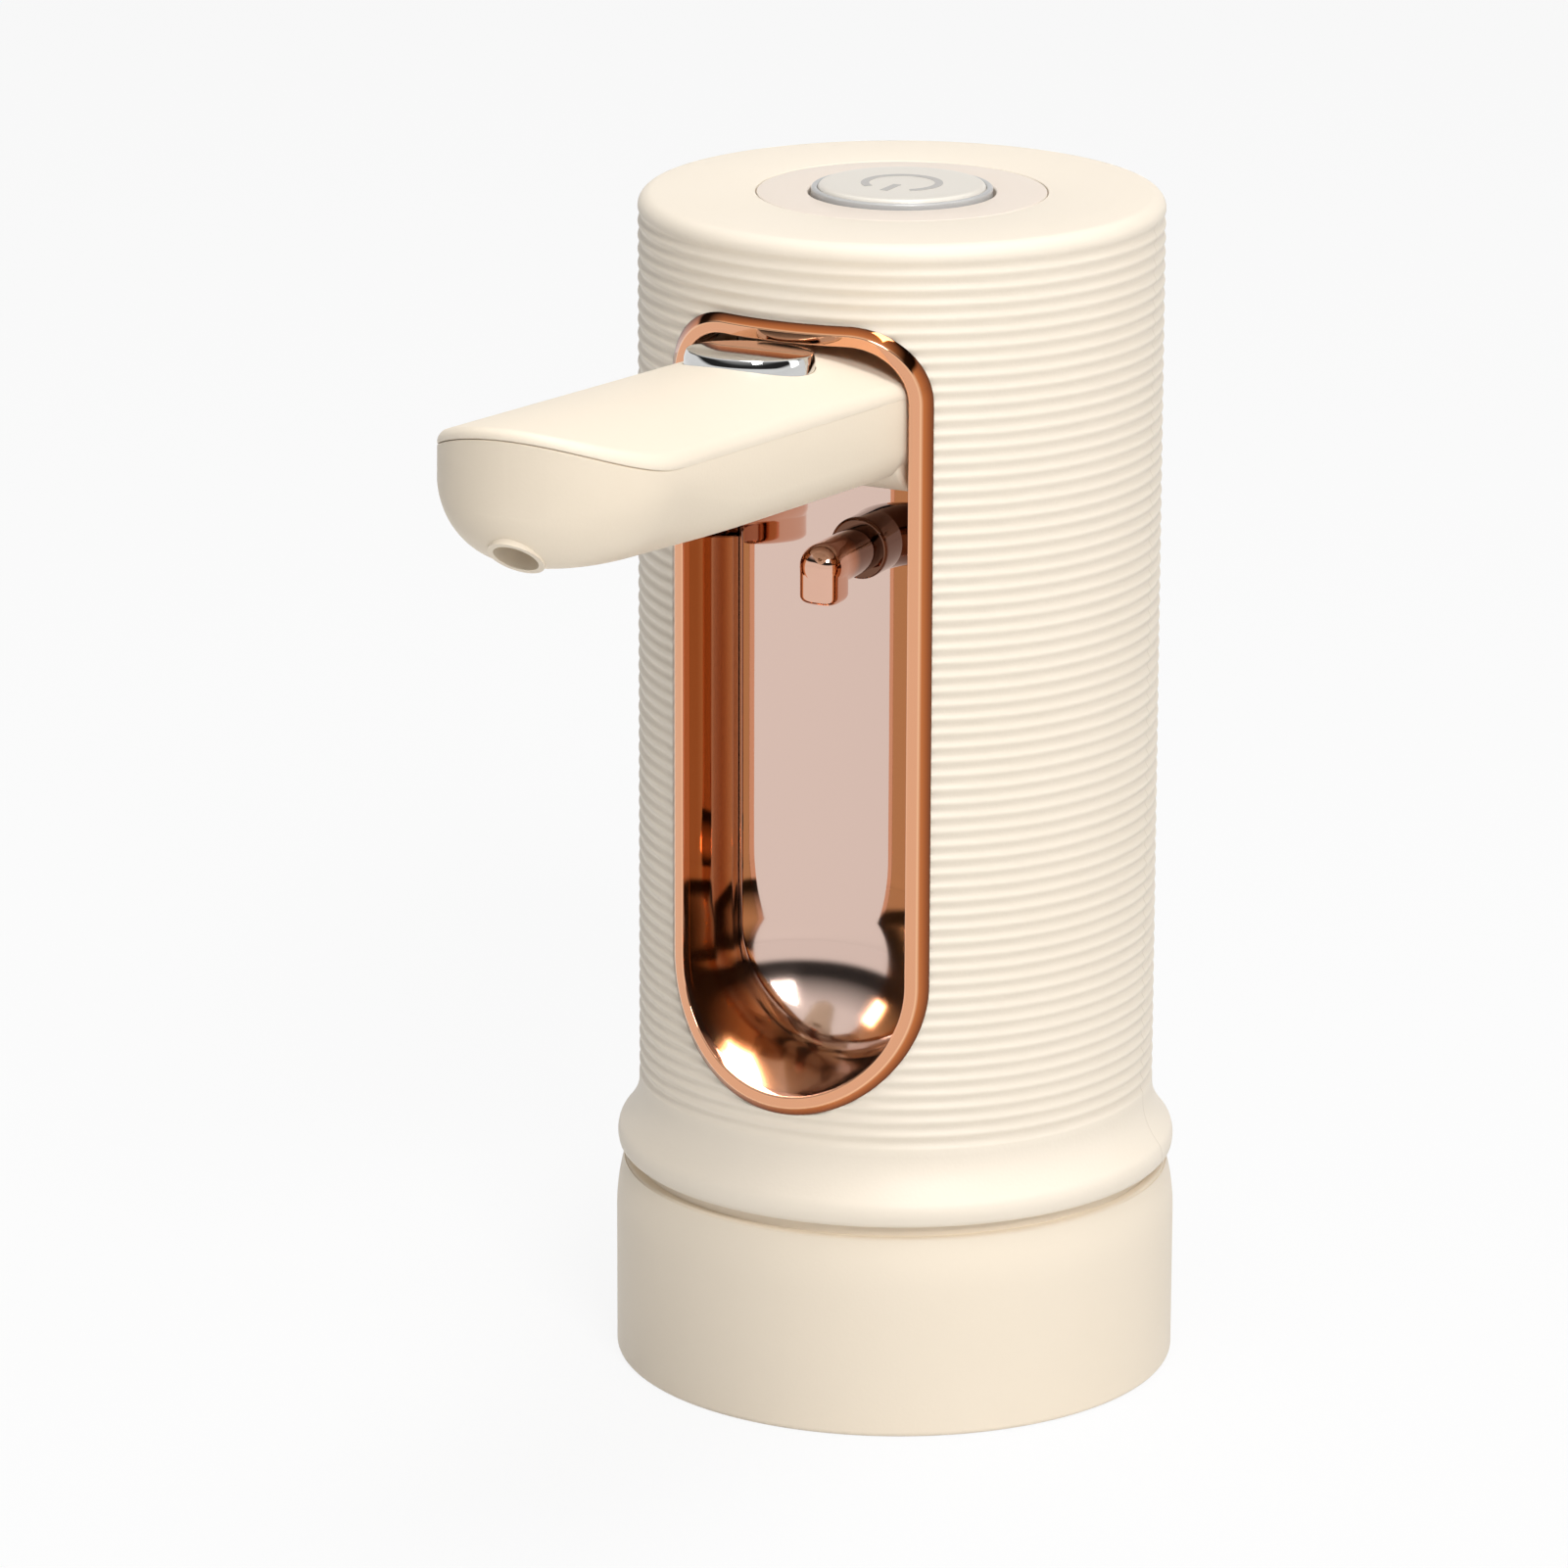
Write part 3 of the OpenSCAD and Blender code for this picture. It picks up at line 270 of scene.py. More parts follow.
def haze_down(made, high, low, haze):
    """Makes a finish rougher from a height down to a lower one."""
    tree, shader = opened(made)
    more = add(tree, "ShaderNodeMapRange",
               {"Value": spot_on(tree)["Z"], "From Min": high * MM, "From Max": low * MM, "To Max": haze})
    gloss = shader["Roughness"].links[0].from_socket
    hazy = add(tree, "ShaderNodeMath", {0: gloss, 1: more}, operation="ADD")
    tree.links.new(hazy.outputs[0], shader["Roughness"])


# Cream ABS, injection moulded against a fine spark-eroded mould: a soft satin that blurs highlights
cream_abs = moulded("cream_abs", ("#f2e5d2", "#f0e2cd"), 0.48, 0.06, 0.35, 0.012, 1.43)
# The same ABS on the spout's tray, a shade deeper: painted shade for the spout's sides and front, which face
# away from the light
tray_abs_painted_shade = moulded("cream_abs_painted_shade", ("#ebddc8", "#e9dac4"), 0.48, 0.06, 0.35, 0.012, 1.43)
# The same ABS on the turned shell, with the thin witness line where the mould's halves met
shell_abs = moulded("cream_abs_shell", ("#f1e6d6", "#efe3d1"), 0.48, 0.06, 0.35, 0.012, 1.43)
witness_line(shell_abs, 3.9, "#b9a98f", 0.35, 0.03, 0.12)
# The same ABS tinted pink for the bezel, a little glossier
pink_abs = moulded("pink_abs", ("#ecdfd2", "#e9dbcd"), 0.38, 0.05, 0.35, 0.01)
# Moulded polycarbonate of the button: greyer and glossier
button_pc = moulded("button_polycarbonate", ("#e3ddd3", "#dfd8cd"), 0.32, 0.03, 0.25, 0.0012, 1.58)
# Pad-printed ink of the power mark: flat grey
mark_ink = moulded("mark_ink", ("#bab6b2", "#b5b1ad"), 0.45, 0.05, 0.3, 0.0012, 1.5)
# Rose-gold metallising of the hook: a mirror, slightly wavy like the plastic under it, painted deeper towards
# its root as a painted dark reflection along the rod
rose_plating_painted_reflection = metal("rose_gold_plating", None, 0.05, 0.02, 6.0, 0.004, 0.6)
tone_outwards(rose_plating_painted_reflection, 9.0, 16.0,
              [(0.0, "#643d27"), (0.6, "#6f4630"), (0.8, "#bb8261"), (1.0, "#dcae97")])
# The same plating in the recess, hazy in the bowl; its colour is painted: pale pink on the hollow back, warmer
# on the walls and bowl towards the front, a painted reflection of the copper walls in one another
recess_plating_painted_reflection = metal("recess_plating_painted_reflection", None, 0.03, 0.015, 6.0, 0.003, 0.6)
tone_outwards(recess_plating_painted_reflection, 10.8, 15.0,
              [(0.0, "#d7bbae"), (0.25, "#eac6a2"), (0.6, "#e2b78b"), (1.0, "#cc9562")])
haze_down(recess_plating_painted_reflection, BOWL_Z + 4, BOWL_Z - 8, 0.1)
# The deeper copper plating of the bead, paler on its face than down its outer slope: painted highlights on its
# inner edge and ridge, a painted dark reflection down the slope and a painted shadow at its foot
copper_bead = metal("copper_bead_plating_painted_light", None, 0.06, 0.03, 2.5, 0.004, 0.6)
reach = add(copper_bead.node_tree, "ShaderNodeAttribute", attribute_name="reach").outputs["Fac"]
tone_along(copper_bead, reach,
           [(0.0, "#eeb490"), (0.12, "#dfa078"), (0.5, "#dfa078"), (0.57, "#f0b88e"), (0.66, "#c06c30"),
            (0.85, "#994c12"), (1.0, "#653006")])
# Bright chrome plating: a neutral mirror
chrome = metal("chrome_plating", ("#d3d3d2", "#cdcdcc"), 0.05, 0.03, 4.0, 0.004)
# Silver lacquer on the button's ring: an even grey with a soft gloss
silver_lacquer = moulded("silver_lacquer", ("#bdbcbb", "#b5b4b3"), 0.3, 0.06, 0.3, 0.004, 1.7)
# Zinc-plated steel of the screws, the port's shell and the motor's can: a half-bright, slightly uneven grey
zinc_steel = metal("zinc_plated_steel", ("#b9babb", "#a9aaac"), 0.28, 0.08, 1.2, 0.006)
# Ground steel of shafts and pins: brighter, with fine unevenness
ground_steel = metal("ground_steel", ("#c4c5c7", "#b9babd"), 0.18, 0.05, 0.5, 0.003)
# Sintered steel of the gears: dull and slightly porous
sintered_steel = metal("sintered_steel", ("#8f8d8a", "#7f7d7a"), 0.48, 0.1, 0.4, 0.02)
# Enamelled copper winding: reddish brown with a soft shine
winding_copper = metal("enamelled_copper", ("#a9643a", "#8f4f2b"), 0.3, 0.08, 0.5, 0.03)
# Gold flash on the port's contacts: thin, pale and satin
gold_contact = metal("gold_flash", ("#e0bd72", "#d4ae60"), 0.22, 0.06, 0.6, 0.003)
# Moulded silicone rubber, pale and dark: matt
silicone = moulded("grey_silicone", ("#cfccc6", "#c5c2bc"), 0.62, 0.06, 0.5, 0.02, 1.41)
dark_silicone = moulded("dark_silicone", ("#3a3836", "#34322f"), 0.6, 0.06, 0.5, 0.02, 1.41)
# Natural nylon of the fittings: off-white and half matt
nylon = moulded("natural_nylon", ("#dcd8cb", "#d3cfc1"), 0.42, 0.06, 0.6, 0.01)
# Extruded PVC of the hose: yellowish and smooth
hose_pvc = moulded("pvc_hose", ("#d9d6c8", "#d0ccbc"), 0.3, 0.05, 0.8, 0.006)
# Black glass-filled ABS of the chassis: a dry, half-matt black
black_abs = moulded("black_abs", ("#26262a", "#2e2e31"), 0.5, 0.08, 0.4, 0.02)
# Solder mask over glass-fibre board: a glossy green skin, slightly uneven
solder_mask = moulded("solder_mask", ("#1f5a40", "#2a6a4c"), 0.32, 0.08, 0.7, 0.02)
# Shrink sleeve of the battery cell: a smooth blue film
cell_sleeve = moulded("cell_sleeve", ("#3f6da8", "#4876b0"), 0.25, 0.05, 1.5, 0.01)

# Finishes of the nodes that keep their own mesh
for finish, names in [
    (cream_abs, "base_plate hinge_block"),
    # The nozzle takes the tray's finish, with its painted shade
    (tray_abs_painted_shade, "spout_nozzle"),
    (nylon, "dip_tube_socket wine_manifold feed_elbow spout_tube pump_body pump_cover"),
    (zinc_steel, "base_screws board_screws charge_port motor_can"),
    (ground_steel, "hinge_pins rotor_shaft idler_pin"),
    (sintered_steel, "drive_gear idler_gear"),
    (winding_copper, "motor_armature"),
    (solder_mask, "control_board charge_board"),
    (black_abs, "tact_switch chassis motor_cap"),
    (cell_sleeve, "battery_cell"),
]:
    for name in names.split():
        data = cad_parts[name].data
        data.materials.clear()
        data.materials.append(finish)


# Making of pieces
WELD = 0.002
SLIVER = 0.001


def new_object(name, points, edges, faces):
    """An object whose mesh is given in millimetres."""
    data = bpy.data.meshes.new(name)
    data.from_pydata([[MM * c for c in p] for p in points], edges, faces)
    return in_scene(name, data)


def node_shape(name, inputs):
    """An empty geometry tree with named inputs: the tree and what it is given."""
    tree = bpy.data.node_groups.new(name, "GeometryNodeTree")
    for label, kind in [("Geometry", "Geometry"), *inputs, ("Finish", "Material")]:
        tree.interface.new_socket(label, in_out="INPUT", socket_type="NodeSocket" + kind)
    tree.interface.new_socket("Geometry", in_out="OUTPUT", socket_type="NodeSocketGeometry")
    return tree, add(tree, "NodeGroupInput").outputs


def end_shape(tree, given, geometry):
    """Closes a geometry tree: real geometry in the given finish."""
    real = add(tree, "GeometryNodeRealizeInstances", {"Geometry": geometry})
    dressed = add(tree, "GeometryNodeSetMaterial", {"Geometry": real, "Material": given["Finish"]})
    add(tree, "NodeGroupOutput", {"Geometry": dressed})


def apply_modifiers(obj):
    """Keeps the result of an object's modifiers as its plain mesh."""
    bpy.context.view_layer.update()
    made = bpy.data.meshes.new_from_object(obj.evaluated_get(bpy.context.evaluated_depsgraph_get()))
    obj.modifiers.clear()
    obj.data = made
    return obj


def grow(obj, tree, **values):
    """Runs a geometry tree on an object and keeps the result as its plain mesh."""
    modifier = obj.modifiers.new("shape", "NODES")
    modifier.node_group = tree
    for socket in tree.interface.items_tree:
        if socket.in_out == "INPUT" and socket.name in values:
            modifier[socket.identifier] = values[socket.name]
    return apply_modifiers(obj)


def combine(obj, other, operation):
    """Cuts or joins two closed pieces, and removes the second."""
    modifier = obj.modifiers.new("combine", "BOOLEAN")
    modifier.operation = operation
    modifier.solver = "EXACT"
    modifier.object = other
    apply_modifiers(obj)
    bpy.data.objects.remove(other)
    return obj


def clean(obj, sharp=32.0, outward=True):
    """Merges doubles, turns faces outwards and shades smooth up to a sharp angle."""
    work = bmesh.new()
    work.from_mesh(obj.data)
    bmesh.ops.remove_doubles(work, verts=work.verts, dist=WELD * MM)
    bmesh.ops.dissolve_degenerate(work, edges=work.edges, dist=SLIVER * MM)
    if outward:
        bmesh.ops.recalc_face_normals(work, faces=work.faces)
    work.to_mesh(obj.data)
    work.free()
    obj.data.polygons.foreach_set("use_smooth", [True] * len(obj.data.polygons))
    obj.data.set_sharp_from_angle(angle=math.radians(sharp))
    return obj


def thicken(obj, wall, sharp):
    """Gives a shell its wall, inwards from the side that its faces look to."""
    modifier = obj.modifiers.new("wall", "SOLIDIFY")
    modifier.thickness = wall * MM
    modifier.offset = -1.0
    return clean(apply_modifiers(obj), sharp, outward=False)


def dress(obj, finish, body, nodes=()):
    """Gives a piece its finish, its body and the nodes that it stands for."""
    obj.data.materials.clear()
    obj.data.materials.append(finish)
    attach(obj, body)
    if nodes:
        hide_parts(*nodes)
    return obj


def arc(cx, cy, r, start, end, steps):
    """Points on an arc, angles in degrees."""
    angles = np.radians(np.linspace(start, end, steps + 1))
    return [(cx + r * math.cos(a), cy + r * math.sin(a)) for a in angles]


def loop_edges(count):
    """Edges from each point to the next, the last one back to the first."""
    return [(i, (i + 1) % count) for i in range(count)]


def faces_between(rings, sides):
    """Faces between rings of points."""
    return [(i * sides + k, i * sides + (k + 1) % sides, (i + 1) * sides + (k + 1) % sides, (i + 1) * sides + k)
            for i in range(rings - 1) for k in range(sides)]


def smoothstep(low, high, value):
    """A soft step from 0 at the low value to 1 at the high one."""
    t = np.clip((value - low) / (high - low), 0.0, 1.0)
    return t * t * (3 - 2 * t)


SPINDLE_R = 1.0


def sweep_round(tree, given, section):
    """Adds nodes that sweep a section of radii and heights round the body's axis."""
    section = add(tree, "GeometryNodeMeshToCurve", {"Mesh": section})
    moved = add(tree, "GeometryNodeTransform",
                {"Geometry": section, "Translation": (-SPINDLE_R * MM, 0, 0), "Scale": (1, -1, 1)})
    spindle = add(tree, "GeometryNodeCurvePrimitiveCircle",
                  {"Resolution": given["Segments"], "Radius": SPINDLE_R * MM})
    upright = add(tree, "GeometryNodeSetCurveNormal", {"Curve": spindle}, mode="Z_UP")
    return add(tree, "GeometryNodeCurveToMesh", {"Curve": upright, "Profile Curve": moved})


# A turned piece: a closed section swept round the body's axis
turning, given = node_shape("turned_piece", [("Segments", "Int")])
swept = sweep_round(turning, given, given["Geometry"])
joined = add(turning, "GeometryNodeMergeByDistance", {"Geometry": swept, "Distance": WELD * MM})
end_shape(turning, given, joined)


def turned_piece(name, section, finish, segments=160, sharp=32.0):
    """A turned piece from its section, radius and height."""
    obj = new_object(name, [(r, z, 0) for r, z in section], loop_edges(len(section)), [])
    return clean(grow(obj, turning, Segments=segments, Finish=finish), sharp)


# The ribbed body: the tree adds the ribs to the smooth part of its section, turns it and cuts its openings
ribbing, given = node_shape("ribbed_body", [
    ("Segments", "Int"), ("Wall radius", "Float"), ("First rib", "Float"), ("Rib pitch", "Float"),
    ("Rib depth", "Float"), ("Rib count", "Int"), ("Points per rib", "Int"), ("Openings", "Object")])
steps = add(ribbing, "ShaderNodeMath", {0: given["Rib count"], 1: given["Points per rib"]},
            operation="MULTIPLY")
count = add(ribbing, "ShaderNodeMath", {0: steps, 1: 1.0}, operation="ADD")
foot = add(ribbing, "ShaderNodeCombineXYZ", {"X": given["Wall radius"], "Y": given["First rib"]})
rise = add(ribbing, "ShaderNodeMath", {0: given["Rib pitch"], 1: given["Points per rib"]}, operation="DIVIDE")
step = add(ribbing, "ShaderNodeCombineXYZ", {"Y": rise})
line = add(ribbing, "GeometryNodeMeshLine", {"Count": count, "Start Location": foot, "Offset": step},
           mode="OFFSET")
index = add(ribbing, "GeometryNodeInputIndex")
turn = add(ribbing, "ShaderNodeMath", {0: index, 1: given["Points per rib"]}, operation="DIVIDE")
phase = add(ribbing, "ShaderNodeMath", {0: turn, 1: 2 * math.pi}, operation="MULTIPLY")
wave = add(ribbing, "ShaderNodeMath", {0: phase}, operation="COSINE")
inward = add(ribbing, "ShaderNodeMapRange", {"Value": wave, "From Min": 1.0, "From Max": -1.0, "To Max": -1.0})
bite = add(ribbing, "ShaderNodeMath", {0: inward, 1: given["Rib depth"]}, operation="MULTIPLY")
shift = add(ribbing, "ShaderNodeCombineXYZ", {"X": bite})
ribs = add(ribbing, "GeometryNodeSetPosition", {"Geometry": line, "Offset": shift})
whole = add(ribbing, "GeometryNodeJoinGeometry", {"Geometry": given["Geometry"]})
ribbing.links.new(ribs.outputs[0], whole.inputs[0])
welded = add(ribbing, "GeometryNodeMergeByDistance", {"Geometry": whole, "Distance": WELD * MM})
swept = sweep_round(ribbing, given, welded)
cutter = add(ribbing, "GeometryNodeObjectInfo", {"Object": given["Openings"]})
cut = add(ribbing, "GeometryNodeMeshBoolean", {"Mesh 1": swept, "Mesh 2": cutter.outputs["Geometry"]},
          operation="DIFFERENCE", solver="EXACT")
end_shape(ribbing, given, cut)


def niche_outline(growth, arc_steps=48, corner_steps=14, side_steps=1):
    """The recess seen from the front, x and z, anticlockwise from its left side, grown outwards."""
    r, c = NICHE_HALF_W + growth, NICHE_CORNER_R + growth
    path = arc(0, BOWL_Z, r, 180, 360, arc_steps)
    for i in range(1, side_steps):
        path.append((r, BOWL_Z + (CORNER_Z - BOWL_Z) * i / side_steps))
    path += arc(CORNER_X, CORNER_Z, c, 0, 90, corner_steps)
    path += arc(-CORNER_X, CORNER_Z, c, 90, 180, corner_steps)
    for i in range(1, side_steps):
        path.append((-r, CORNER_Z - (CORNER_Z - BOWL_Z) * i / side_steps))
    return path


def prism(name, outline, near, far):
    """A block along Y with the given outline in x and z."""
    n = len(outline)
    points = [(x, near, z) for x, z in outline] + [(x, far, z) for x, z in outline]
    faces = [list(range(n)), list(range(2 * n - 1, n - 1, -1))]
    faces += [(i, n + i, n + (i + 1) % n, (i + 1) % n) for i in range(n)]
    return clean(new_object(name, points, [], faces))


def rectangle(half, low, high):
    """An outline in x and z."""
    return [(-half, low), (half, low), (half, high), (-half, high)]


OPENING_GROW = 1.0
CUT_SPARE = 1.0
PORT_W = 9.0
PORT_H = 3.3
PORT_Z = sum(c.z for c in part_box("charge_port")) / 2 / MM
PORT_GROW = 0.2
PORT_DEEP = 7.0


def port_outline(growth, steps=10):
    """The charging port seen from behind, x and z."""
    r, half = PORT_H / 2 + growth, (PORT_W - PORT_H) / 2
    return arc(half, PORT_Z, r, -90, 90, steps) + arc(-half, PORT_Z, r, 90, 270, steps)


def lip_radius(h):
    """The lip's bead that runs into a cove, by the height above the body's foot."""
    if h < LIP_BEAD_H:
        return BODY_R + LIP_OUT - LIP_CROWN * (2 * h / LIP_BEAD_H - 1) ** 2
    return BODY_R + (LIP_OUT - LIP_CROWN) * (1 - min(1.0, (h - LIP_BEAD_H) / LIP_COVE_H)) ** 2


BEZEL_GAP = 0.1
SEAT_EDGE = 0.12
WELL_R = 10.5
FOOT_EDGE = 0.25
LIP_FROM = 0.3
lip_h = LIP_BEAD_H + LIP_COVE_H
rib_to = RIB_FROM + RIB_COUNT * RIB_PITCH
bezel_seat = BODY_TOP - BEZEL_T
seat_r = BEZEL_R + BEZEL_GAP
body_section = [(BODY_R, rib_to)]
body_section += arc(BODY_R - TOP_EDGE_R, BODY_TOP - TOP_EDGE_R, TOP_EDGE_R, 0, 90, 10)
body_section += arc(seat_r + SEAT_EDGE, BODY_TOP - SEAT_EDGE, SEAT_EDGE, 90, 180, 3)
body_section += [(seat_r, bezel_seat), (WELL_R, bezel_seat), (WELL_R, CAVITY_TOP), (CAVITY_R, CAVITY_TOP)]
body_section += [(CAVITY_R, BODY_FOOT)]
body_section += arc(lip_radius(0) - FOOT_EDGE, BODY_FOOT + FOOT_EDGE, FOOT_EDGE, -90, -20, 4)
body_section += [(lip_radius(h), BODY_FOOT + h) for h in np.linspace(LIP_FROM, lip_h, 30)]
body_section += [(BODY_R, RIB_FROM)]
openings = prism("openings", niche_outline(OPENING_GROW), -BODY_R - LIP_OUT - CUT_SPARE, -CUT_SPARE)
port_cut = prism("port_cut", port_outline(PORT_GROW), BODY_R + CUT_SPARE, BODY_R - PORT_DEEP)
merge = bmesh.new()
merge.from_mesh(openings.data)
merge.from_mesh(port_cut.data)
merge.to_mesh(openings.data)
merge.free()
bpy.data.objects.remove(port_cut)
ribbed_body = new_object("ribbed_body", [(r, z, 0) for r, z in body_section],
                         loop_edges(len(body_section))[:-1], [])
grow(ribbed_body, ribbing, Segments=144, Finish=shell_abs, Openings=openings,
     **{"Wall radius": BODY_R * MM, "First rib": RIB_FROM * MM, "Rib pitch": RIB_PITCH * MM,
        "Rib depth": RIB_DEPTH * MM, "Rib count": RIB_COUNT, "Points per rib": 8})
bpy.data.objects.remove(openings)
clean(ribbed_body, 35)
dress(ribbed_body, shell_abs, "housing", ["body_shell"])

# Collar with its rounded shoulder and a softened foot
SHOULDER_H = 5.7
SHOULDER_IN = 0.8
SHOULDER_SHARE = 0.97
COLLAR_BORE_R = 17.7
COLLAR_FOOT_R = 0.6
COLLAR_EDGE = 0.3
COLLAR_RIM_IN = 0.35
shoulder_r = (SHOULDER_H ** 2 + SHOULDER_IN ** 2) / (2 * SHOULDER_IN)
shoulder_angle = math.degrees(math.asin(SHOULDER_H / shoulder_r))
collar_in = COLLAR_R - COLLAR_WALL
collar_section = [(COLLAR_BORE_R, COLLAR_EDGE), (COLLAR_BORE_R + COLLAR_EDGE, 0.0)]
collar_section += arc(COLLAR_R - COLLAR_FOOT_R, COLLAR_FOOT_R, COLLAR_FOOT_R, -90, 0, 6)
collar_section += arc(COLLAR_R - shoulder_r, COLLAR_H - SHOULDER_H, shoulder_r,
                      0, shoulder_angle * SHOULDER_SHARE, 12)
collar_section += arc(COLLAR_R - SHOULDER_IN - COLLAR_RIM_IN, COLLAR_H - COLLAR_EDGE, COLLAR_EDGE, 15, 90, 4)
collar_section += [(collar_in, COLLAR_H), (collar_in, COLLAR_FLOOR), (COLLAR_BORE_R, COLLAR_FLOOR)]
collar = turned_piece("collar", collar_section, cream_abs)
dress(collar, cream_abs, "housing", ["base_collar"])

# Soft sleeve that grips the bottle's neck, with grip rings on its inner wall
NECK_R = 15.2
SEAL_WALL = 2.2
SOCKET_DEPTH = 14.0
SEAL_WEB = 2.5
SKIRT_WALL = 2.0
SKIRT_GAP = 0.1
STEM_R = 5.1
STEM_EDGE = 0.3
GRIP_COUNT = 5
GRIP_DEPTH = 0.55
GRIP_FROM = 1.6
GRIP_TO = SOCKET_DEPTH - 1.0
MOUTH_R = 0.6
MOUTH_EDGE = 0.3
ROOF_EDGE = 0.4
skirt_r = collar_in - SKIRT_GAP
web_top = SOCKET_DEPTH + SEAL_WEB
grip = []
for z in np.linspace(GRIP_FROM, GRIP_TO, GRIP_COUNT * 12 + 1):
    wave_in = 0.5 - 0.5 * math.cos(2 * math.pi * GRIP_COUNT * (z - GRIP_FROM) / (GRIP_TO - GRIP_FROM))
    grip.append((NECK_R + GRIP_DEPTH * (1 - wave_in ** 2), float(z)))
sleeve_section = [(NECK_R + SEAL_WALL, MOUTH_R + MOUTH_EDGE), (NECK_R + SEAL_WALL, SOCKET_DEPTH),
                  (skirt_r - SKIRT_WALL, SOCKET_DEPTH), (skirt_r - SKIRT_WALL, COLLAR_FLOOR),
                  (skirt_r, COLLAR_FLOOR), (skirt_r, web_top), (STEM_R, web_top),
                  (STEM_R, SOCKET_DEPTH + STEM_EDGE), (STEM_R + STEM_EDGE, SOCKET_DEPTH),
                  (NECK_R + ROOF_EDGE, SOCKET_DEPTH)]
sleeve_section += grip[::-1] + arc(NECK_R + 2 * MOUTH_R, 2 * MOUTH_R, MOUTH_R, 180, 270, 4)
sleeve_section += [(NECK_R + SEAL_WALL - MOUTH_EDGE, MOUTH_R)]
sleeve = turned_piece("bottle_sleeve", sleeve_section, silicone)
dress(sleeve, silicone, "housing", ["bottle_seal"])

# Recess liner: each point of the outline carries a section along the side, round the corner and over the back
LINER_FILLET = 1.0
BOWL_FILLET = 4.5
SIDE_STEPS = 8
CORNER_STEPS = 14
BACK_STEPS = 28


def liner_section(x, z):
    """Points of the liner's inner face from its front edge to the middle of its back."""
    w = max(0.01, NICHE_HALF_W if z < BOWL_Z else abs(x))
    bowl = float(smoothstep(0.0, NICHE_HALF_W, BOWL_Z - z))
    edge = (LINER_FILLET + (BOWL_FILLET - LINER_FILLET) * bowl) * (w / NICHE_HALF_W) ** 2
    depth = math.sqrt((NICHE_BACK_R - edge) ** 2 - (w - edge) ** 2)
    turn = math.atan2(w - edge, depth)
    front, corner = math.sqrt(LINER_R ** 2 - x * x), NICHE_AXIS - depth
    rows = [(w, front + (corner - front) * t) for t in np.linspace(0, 1, SIDE_STEPS + 1)[:-1]]
    rows += [(w - edge + edge * math.cos(a), corner - edge * math.sin(a))
             for a in np.linspace(0, math.pi / 2 - turn, CORNER_STEPS + 1)]
    rows += [(NICHE_BACK_R * math.sin(b), NICHE_AXIS - NICHE_BACK_R * math.cos(b))
             for b in np.linspace(turn, 0, BACK_STEPS + 1)[1:]]
    middle = min(max(z, BOWL_Z), CORNER_Z)
    return [(x * r / w, -f, z + (middle - z) * (1 - r / w)) for r, f in rows]


liner_outline = niche_outline(0.0, 96, 20, 60)
liner_points = [p for x, z in liner_outline for p in liner_section(x, z)]
row = SIDE_STEPS + CORNER_STEPS + BACK_STEPS + 1
count = len(liner_outline)
liner_faces = [(k * row + i, k * row + i + 1, (k + 1) % count * row + i + 1, (k + 1) % count * row + i)
               for k in range(count) for i in range(row - 1)]
liner = clean(new_object("recess_liner", liner_points, [], liner_faces), 60)
# A spot on the back, whose faces have to look to the front before the wall is given
back_spot = MM * Vector((3, NICHE_BACK_R - NICHE_AXIS, 75))
if min(liner.data.polygons, key=lambda f: (f.center - back_spot).length).normal.y > 0:
    liner.data.flip_normals()
thicken(liner, LINER_WALL, 60)
dress(liner, recess_plating_painted_reflection, "housing", ["niche_liner"])

# Bead round the recess: a section carried along the flat outline, then laid on the body's round wall
beading, given = node_shape("bead_on_wall", [("Section", "Object"), ("Wall radius", "Float"),
                                             ("Bead width", "Float")])
path = add(beading, "GeometryNodeMeshToCurve", {"Mesh": given["Geometry"]})
upright = add(beading, "GeometryNodeSetCurveNormal", {"Curve": path}, mode="Z_UP")
profile = add(beading, "GeometryNodeObjectInfo", {"Object": given["Section"]})
profile = add(beading, "GeometryNodeMeshToCurve", {"Mesh": profile.outputs["Geometry"]})
spot = add(beading, "ShaderNodeSeparateXYZ", {"Vector": add(beading, "GeometryNodeInputPosition")}).outputs
reach = add(beading, "ShaderNodeMath", {0: spot["X"], 1: given["Bead width"]}, operation="DIVIDE")
profile = add(beading, "GeometryNodeStoreNamedAttribute",
              {"Geometry": profile, "Name": "reach", "Value": reach},
              data_type="FLOAT", domain="POINT")
swept = add(beading, "GeometryNodeCurveToMesh", {"Curve": upright, "Profile Curve": profile})
radius = add(beading, "ShaderNodeMath", {0: spot["Z"], 1: given["Wall radius"]}, operation="ADD")
square = add(beading, "ShaderNodeMath", {0: radius, 1: 2.0}, operation="POWER")
across = add(beading, "ShaderNodeMath", {0: spot["X"], 1: spot["X"]}, operation="MULTIPLY")
depth = add(beading, "ShaderNodeMath", {0: square, 1: across}, operation="SUBTRACT")
depth = add(beading, "ShaderNodeMath", {0: depth}, operation="SQRT")
depth = add(beading, "ShaderNodeMath", {0: depth, 1: -1.0}, operation="MULTIPLY")
laid = add(beading, "ShaderNodeCombineXYZ", {"X": spot["X"], "Y": depth, "Z": spot["Y"]})
bent = add(beading, "GeometryNodeSetPosition", {"Geometry": swept, "Position": laid})
end_shape(beading, given, bent)

